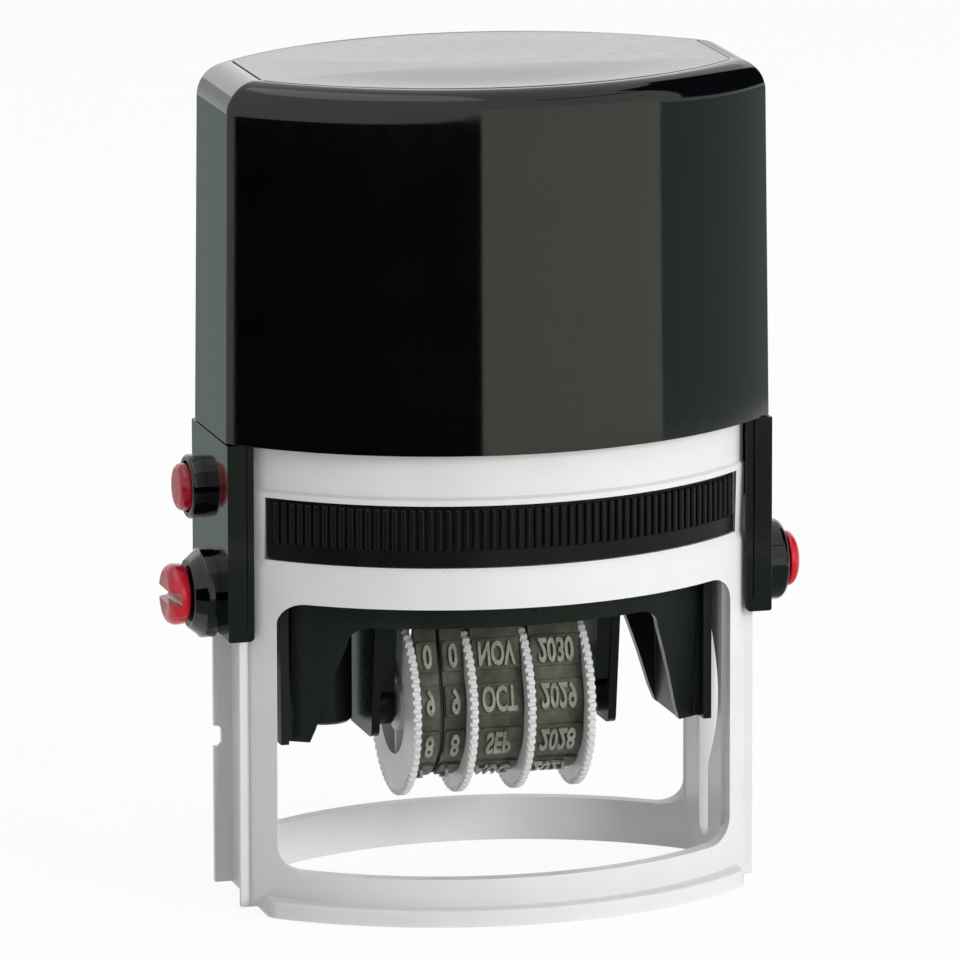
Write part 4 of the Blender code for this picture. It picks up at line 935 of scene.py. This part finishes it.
def make_band(name, low, high, words, first, width, widen):
    """One belt with its plinths and raised type; the words run down the front."""
    middle, half = (low + high) / 2, (high - low) / 2 - 0.12
    plinth_half, plinth_top, count = 2.25, 0.36, 13
    plinths, letters = bmesh.new(), bmesh.new()
    for index in range(count):
        front = index if index <= count // 2 else index - count
        plinth = upright_block((-half, -plinth_half, -0.3), (half, plinth_half, plinth_top), 0.45, 4)
        bevel(plinth, edges_where(plinth.edges, lambda at: at.z > plinth_top - 0.01), 0.13, 2)
        long_edges = [edge for edge in plinth.edges if abs(edge.verts[0].co.y - edge.verts[1].co.y) > 2]
        bmesh.ops.subdivide_edges(plinth, edges=long_edges, cuts=6)
        glyphs = lettering(words[(first + front) % len(words)], width, 3.6, widen)
        stretch(glyphs, (1, 1, 0.34))
        shift(glyphs, (0, 0, 0.62))
        for shape, target in ((plinth, plinths), (glyphs, letters)):
            follow_belt(shape, -front * PITCH)
            shift(shape, (middle, 0, 0))
            pour(shape, target)
    finished("date_belt_" + name, gather(belt_loop(low, high), plinths), BAND, "carrier", "band_rubber",
             "date_band_" + name, sharp=40)
    finished("date_type_" + name, letters, TYPE, "carrier", "band_rubber", sharp=40, even=False)


# ---------------------------------------------------------------- spring
def make_spring():
    """An open coil of wire between the deck of the base and the bridge of the handle."""
    wire, coil, gap = 0.6, 6.0, 0.3
    low, high = DECK_TOP + gap + wire, BRIDGE_LOW - gap - wire
    turns, per_turn = 9, 36
    steps = turns * per_turn
    bm = bmesh.new()
    bmesh.ops.create_circle(bm, cap_ends=False, radius=wire, segments=14)
    rotate(bm, 90, "X")
    shift(bm, (coil, 0, low))
    bmesh.ops.spin(bm, geom=bm.verts[:] + bm.edges[:], cent=(0, 0, 0), axis=UP,
                   dvec=(0, 0, (high - low) / steps), angle=2 * math.pi * turns, steps=steps,
                   use_merge=False, use_duplicate=False)
    bmesh.ops.holes_fill(bm, edges=[edge for edge in bm.edges if edge.is_boundary], sides=0)
    piece = finished("press_spring", bm, STEEL, "frame", "steel", "return_spring", sharp=50, even=False)
    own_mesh(piece)


# ---------------------------------------------------------------- studio
def larger(nodes, links, first, second):
    node = nodes.new("ShaderNodeMath")
    node.operation = "MAXIMUM"
    links.new(first, node.inputs[0])
    links.new(second, node.inputs[1])
    return node.outputs[0]


def make_floor():
    """A white table that glows towards the camera and in reflections, and less into the scene."""
    bm = bmesh.new()
    bmesh.ops.create_grid(bm, x_segments=1, y_segments=1, size=6)
    floor = placed("floor", bm)
    floor.location = (0, 0, -0.0003)
    made, nodes, links, shader = shader_of("white_table")
    shader.inputs["Base Color"].default_value = (0.92, 0.92, 0.92, 1)
    shader.inputs["Roughness"].default_value = 0.9
    shader.inputs["Specular IOR Level"].default_value = 0.1
    glow = nodes.new("ShaderNodeEmission")
    glow.inputs["Color"].default_value = (1, 1, 1, 1)
    glow.inputs["Strength"].default_value = 1.0
    path = nodes.new("ShaderNodeLightPath")
    mix = nodes.new("ShaderNodeMixShader")
    seen = nodes.new("ShaderNodeMapRange")
    seen.inputs["To Min"].default_value = 0.30
    seen.inputs["To Max"].default_value = 0.93
    either = larger(nodes, links, path.outputs["Is Camera Ray"], path.outputs["Is Glossy Ray"])
    links.new(either, seen.inputs[0])
    links.new(seen.outputs[0], mix.inputs["Fac"])
    links.new(shader.outputs["BSDF"], mix.inputs[1])
    links.new(glow.outputs["Emission"], mix.inputs[2])
    links.new(mix.outputs["Shader"], nodes["Material Output"].inputs["Surface"])
    floor.data.materials.append(made)


def make_world():
    """A dim surrounding light, behind which the camera and the reflections see white."""
    world = bpy.data.worlds.new("studio")
    bpy.context.scene.world = world
    world.use_nodes = True
    nodes, links = world.node_tree.nodes, world.node_tree.links
    back = nodes["Background"]
    back.inputs["Color"].default_value = (0.80, 0.81, 0.82, 1)
    back.inputs["Strength"].default_value = 0.37
    white = nodes.new("ShaderNodeBackground")
    white.inputs["Color"].default_value = (1, 1, 1, 1)
    white.inputs["Strength"].default_value = 1.0
    path = nodes.new("ShaderNodeLightPath")
    either = larger(nodes, links, path.outputs["Is Camera Ray"], path.outputs["Is Glossy Ray"])
    seen = larger(nodes, links, either, path.outputs["Is Transmission Ray"])
    mix = nodes.new("ShaderNodeMixShader")
    links.new(seen, mix.inputs["Fac"])
    links.new(back.outputs["Background"], mix.inputs[1])
    links.new(white.outputs["Background"], mix.inputs[2])
    links.new(mix.outputs["Shader"], nodes["World Output"].inputs["Surface"])


def around(azimuth, elevation, distance, height=LOOK_HEIGHT):
    """A place round the stamp; azimuth 0 is the front and grows towards +X."""
    azimuth, elevation = math.radians(azimuth), math.radians(elevation)
    flat = distance * math.cos(elevation)
    return Vector((flat * math.sin(azimuth), -flat * math.cos(azimuth), height + distance * math.sin(elevation)))


def softbox(name, place, size, power):
    """A white panel that shines on the stamp but isn't seen in its reflections."""
    light = bpy.data.lights.new(name, "AREA")
    light.shape = "RECTANGLE"
    light.size, light.size_y = size
    light.energy = power
    lamp = bpy.data.objects.new(name, light)
    lamp.location = place
    lamp.rotation_euler = (Vector((0, 0, LOOK_HEIGHT)) - place).to_track_quat("-Z", "Y").to_euler()
    lamp.visible_glossy = False
    bpy.context.scene.collection.objects.link(lamp)


def flag(name, azimuth, width, distance, low, high, colour):
    """An upright card, bent round the stamp, that only shows in reflections."""
    start = around(azimuth - width / 2, 0, distance, 0)
    reflected(name, (start.x, start.y, low), (start.x, start.y, high), width, 24, colour)


def level_card(name, start, end, inner, outer, colour, height=0.0004):
    """A level card, a part of a ring round the stamp, that only shows in reflections."""
    direction = around(start, 0, 1.0, 0)
    reflected(name, (direction.x * inner, direction.y * inner, height),
              (direction.x * outer, direction.y * outer, height), end - start, 36, colour)


def reflected(name, start, end, degrees, steps, colour):
    """Sweeps an edge round the stamp into a card that only a reflection sees."""
    bm = bmesh.new()
    ends = [bm.verts.new(start), bm.verts.new(end)]
    geom = [*ends, bm.edges.new(ends)]
    bmesh.ops.spin(bm, geom=geom, cent=(0, 0, 0), axis=UP, angle=math.radians(degrees), steps=steps,
                   use_merge=False, use_duplicate=False)
    card = placed(name, bm)
    made, nodes, links, shader = shader_of(name)
    glow = nodes.new("ShaderNodeEmission")
    glow.inputs["Color"].default_value = (*colour, 1)
    links.new(glow.outputs["Emission"], nodes["Material Output"].inputs["Surface"])
    card.data.materials.append(made)
    card.visible_camera = False
    card.visible_diffuse = False
    card.visible_shadow = False
    card.visible_transmission = False


def make_camera():
    azimuth, elevation, roll = math.radians(15.025), math.radians(11.728), math.radians(-0.136)
    distance, target = 1.498952, Vector((-0.000333, 0, 0.0586))
    forward = Vector((math.sin(azimuth) * math.cos(elevation), math.cos(azimuth) * math.cos(elevation),
                      -math.sin(elevation)))
    data = bpy.data.cameras.new("camera")
    data.sensor_fit = "HORIZONTAL"
    data.sensor_width = 36
    # The focal length in pixels, for a picture 960 pixels wide.
    data.lens = 10501.988 * data.sensor_width / 960
    data.clip_end = 20
    camera = bpy.data.objects.new("camera", data)
    bpy.context.scene.collection.objects.link(camera)
    turn = forward.to_track_quat("-Z", "Y").to_matrix() @ Matrix.Rotation(roll, 3, "Z")
    camera.matrix_world = Matrix.Translation(target - forward * distance) @ turn.to_4x4()
    bpy.context.scene.camera = camera


make_camera()
make_floor()
make_world()
softbox("key_right", around(30, 16, 1.4), (0.6, 0.5), 12.6)
softbox("side_right", around(72, 30, 1.3), (0.7, 0.7), 3.6)
softbox("fill_left", around(-75, 20, 1.5), (0.9, 0.9), 1.0)
softbox("top", Vector((0.1, 0.1, 1.2)), (0.9, 0.9), 4)
flag("dark_flag", -41.97, 79.05, 0.25, -0.0002, 0.088, (0.0, 0.0, 0.0))
flag("dim_card", 98, 78, 0.40, -0.0002, 0.100, (0.36, 0.46, 0.39))
flag("warm_card", 28.3, 61.2, 0.40, -0.0002, 0.118, (1.20, 1.30, 1.06))
flag("dark_panel", 96, 56, 0.40, 0.118, 0.62, (0.0, 0.0, 0.0))
flag("dark_edge", 44, 48, 0.40, 0.425, 0.455, (0.0, 0.0, 0.0))
flag("soft_card", 172, 90, 0.60, 0.100, 0.208, (0.85, 0.86, 0.86))
flag("pale_card", 172, 90, 0.60, 0.208, 0.420, (1.75, 1.75, 1.75))
level_card("dark_floor", -81.5, 118, 0.030, 0.245, (0.26, 0.33, 0.29))
level_card("warm_floor_near", -2.3, 59, 0.250, 0.374, (0.30, 0.33, 0.28))
level_card("warm_floor_middle", -2.3, 59, 0.374, 0.388, (0.52, 0.56, 0.47))
level_card("warm_floor_far", -2.3, 59, 0.388, 0.399, (0.85, 0.90, 0.76))
level_card("dim_floor", 182, 208, 0.10, 0.8, (0.38, 0.46, 0.43))
level_card("bright_ceiling", -150, 5, 0.02, 0.42, (1.9, 2.1, 2.0), 0.7)

make_hood()
make_cover()
make_yoke()
make_axle_ends()
make_lock()
make_base()
make_cassette()
make_carrier()
make_plate()
make_date_frame()
for name, dial, low, high, *_ in DATERS:
    make_wheel(name, dial, low, high)
for name, _, *band in DATERS:
    make_band(name, *band)
make_spring()

bpy.context.scene.view_settings.view_transform = "Standard"
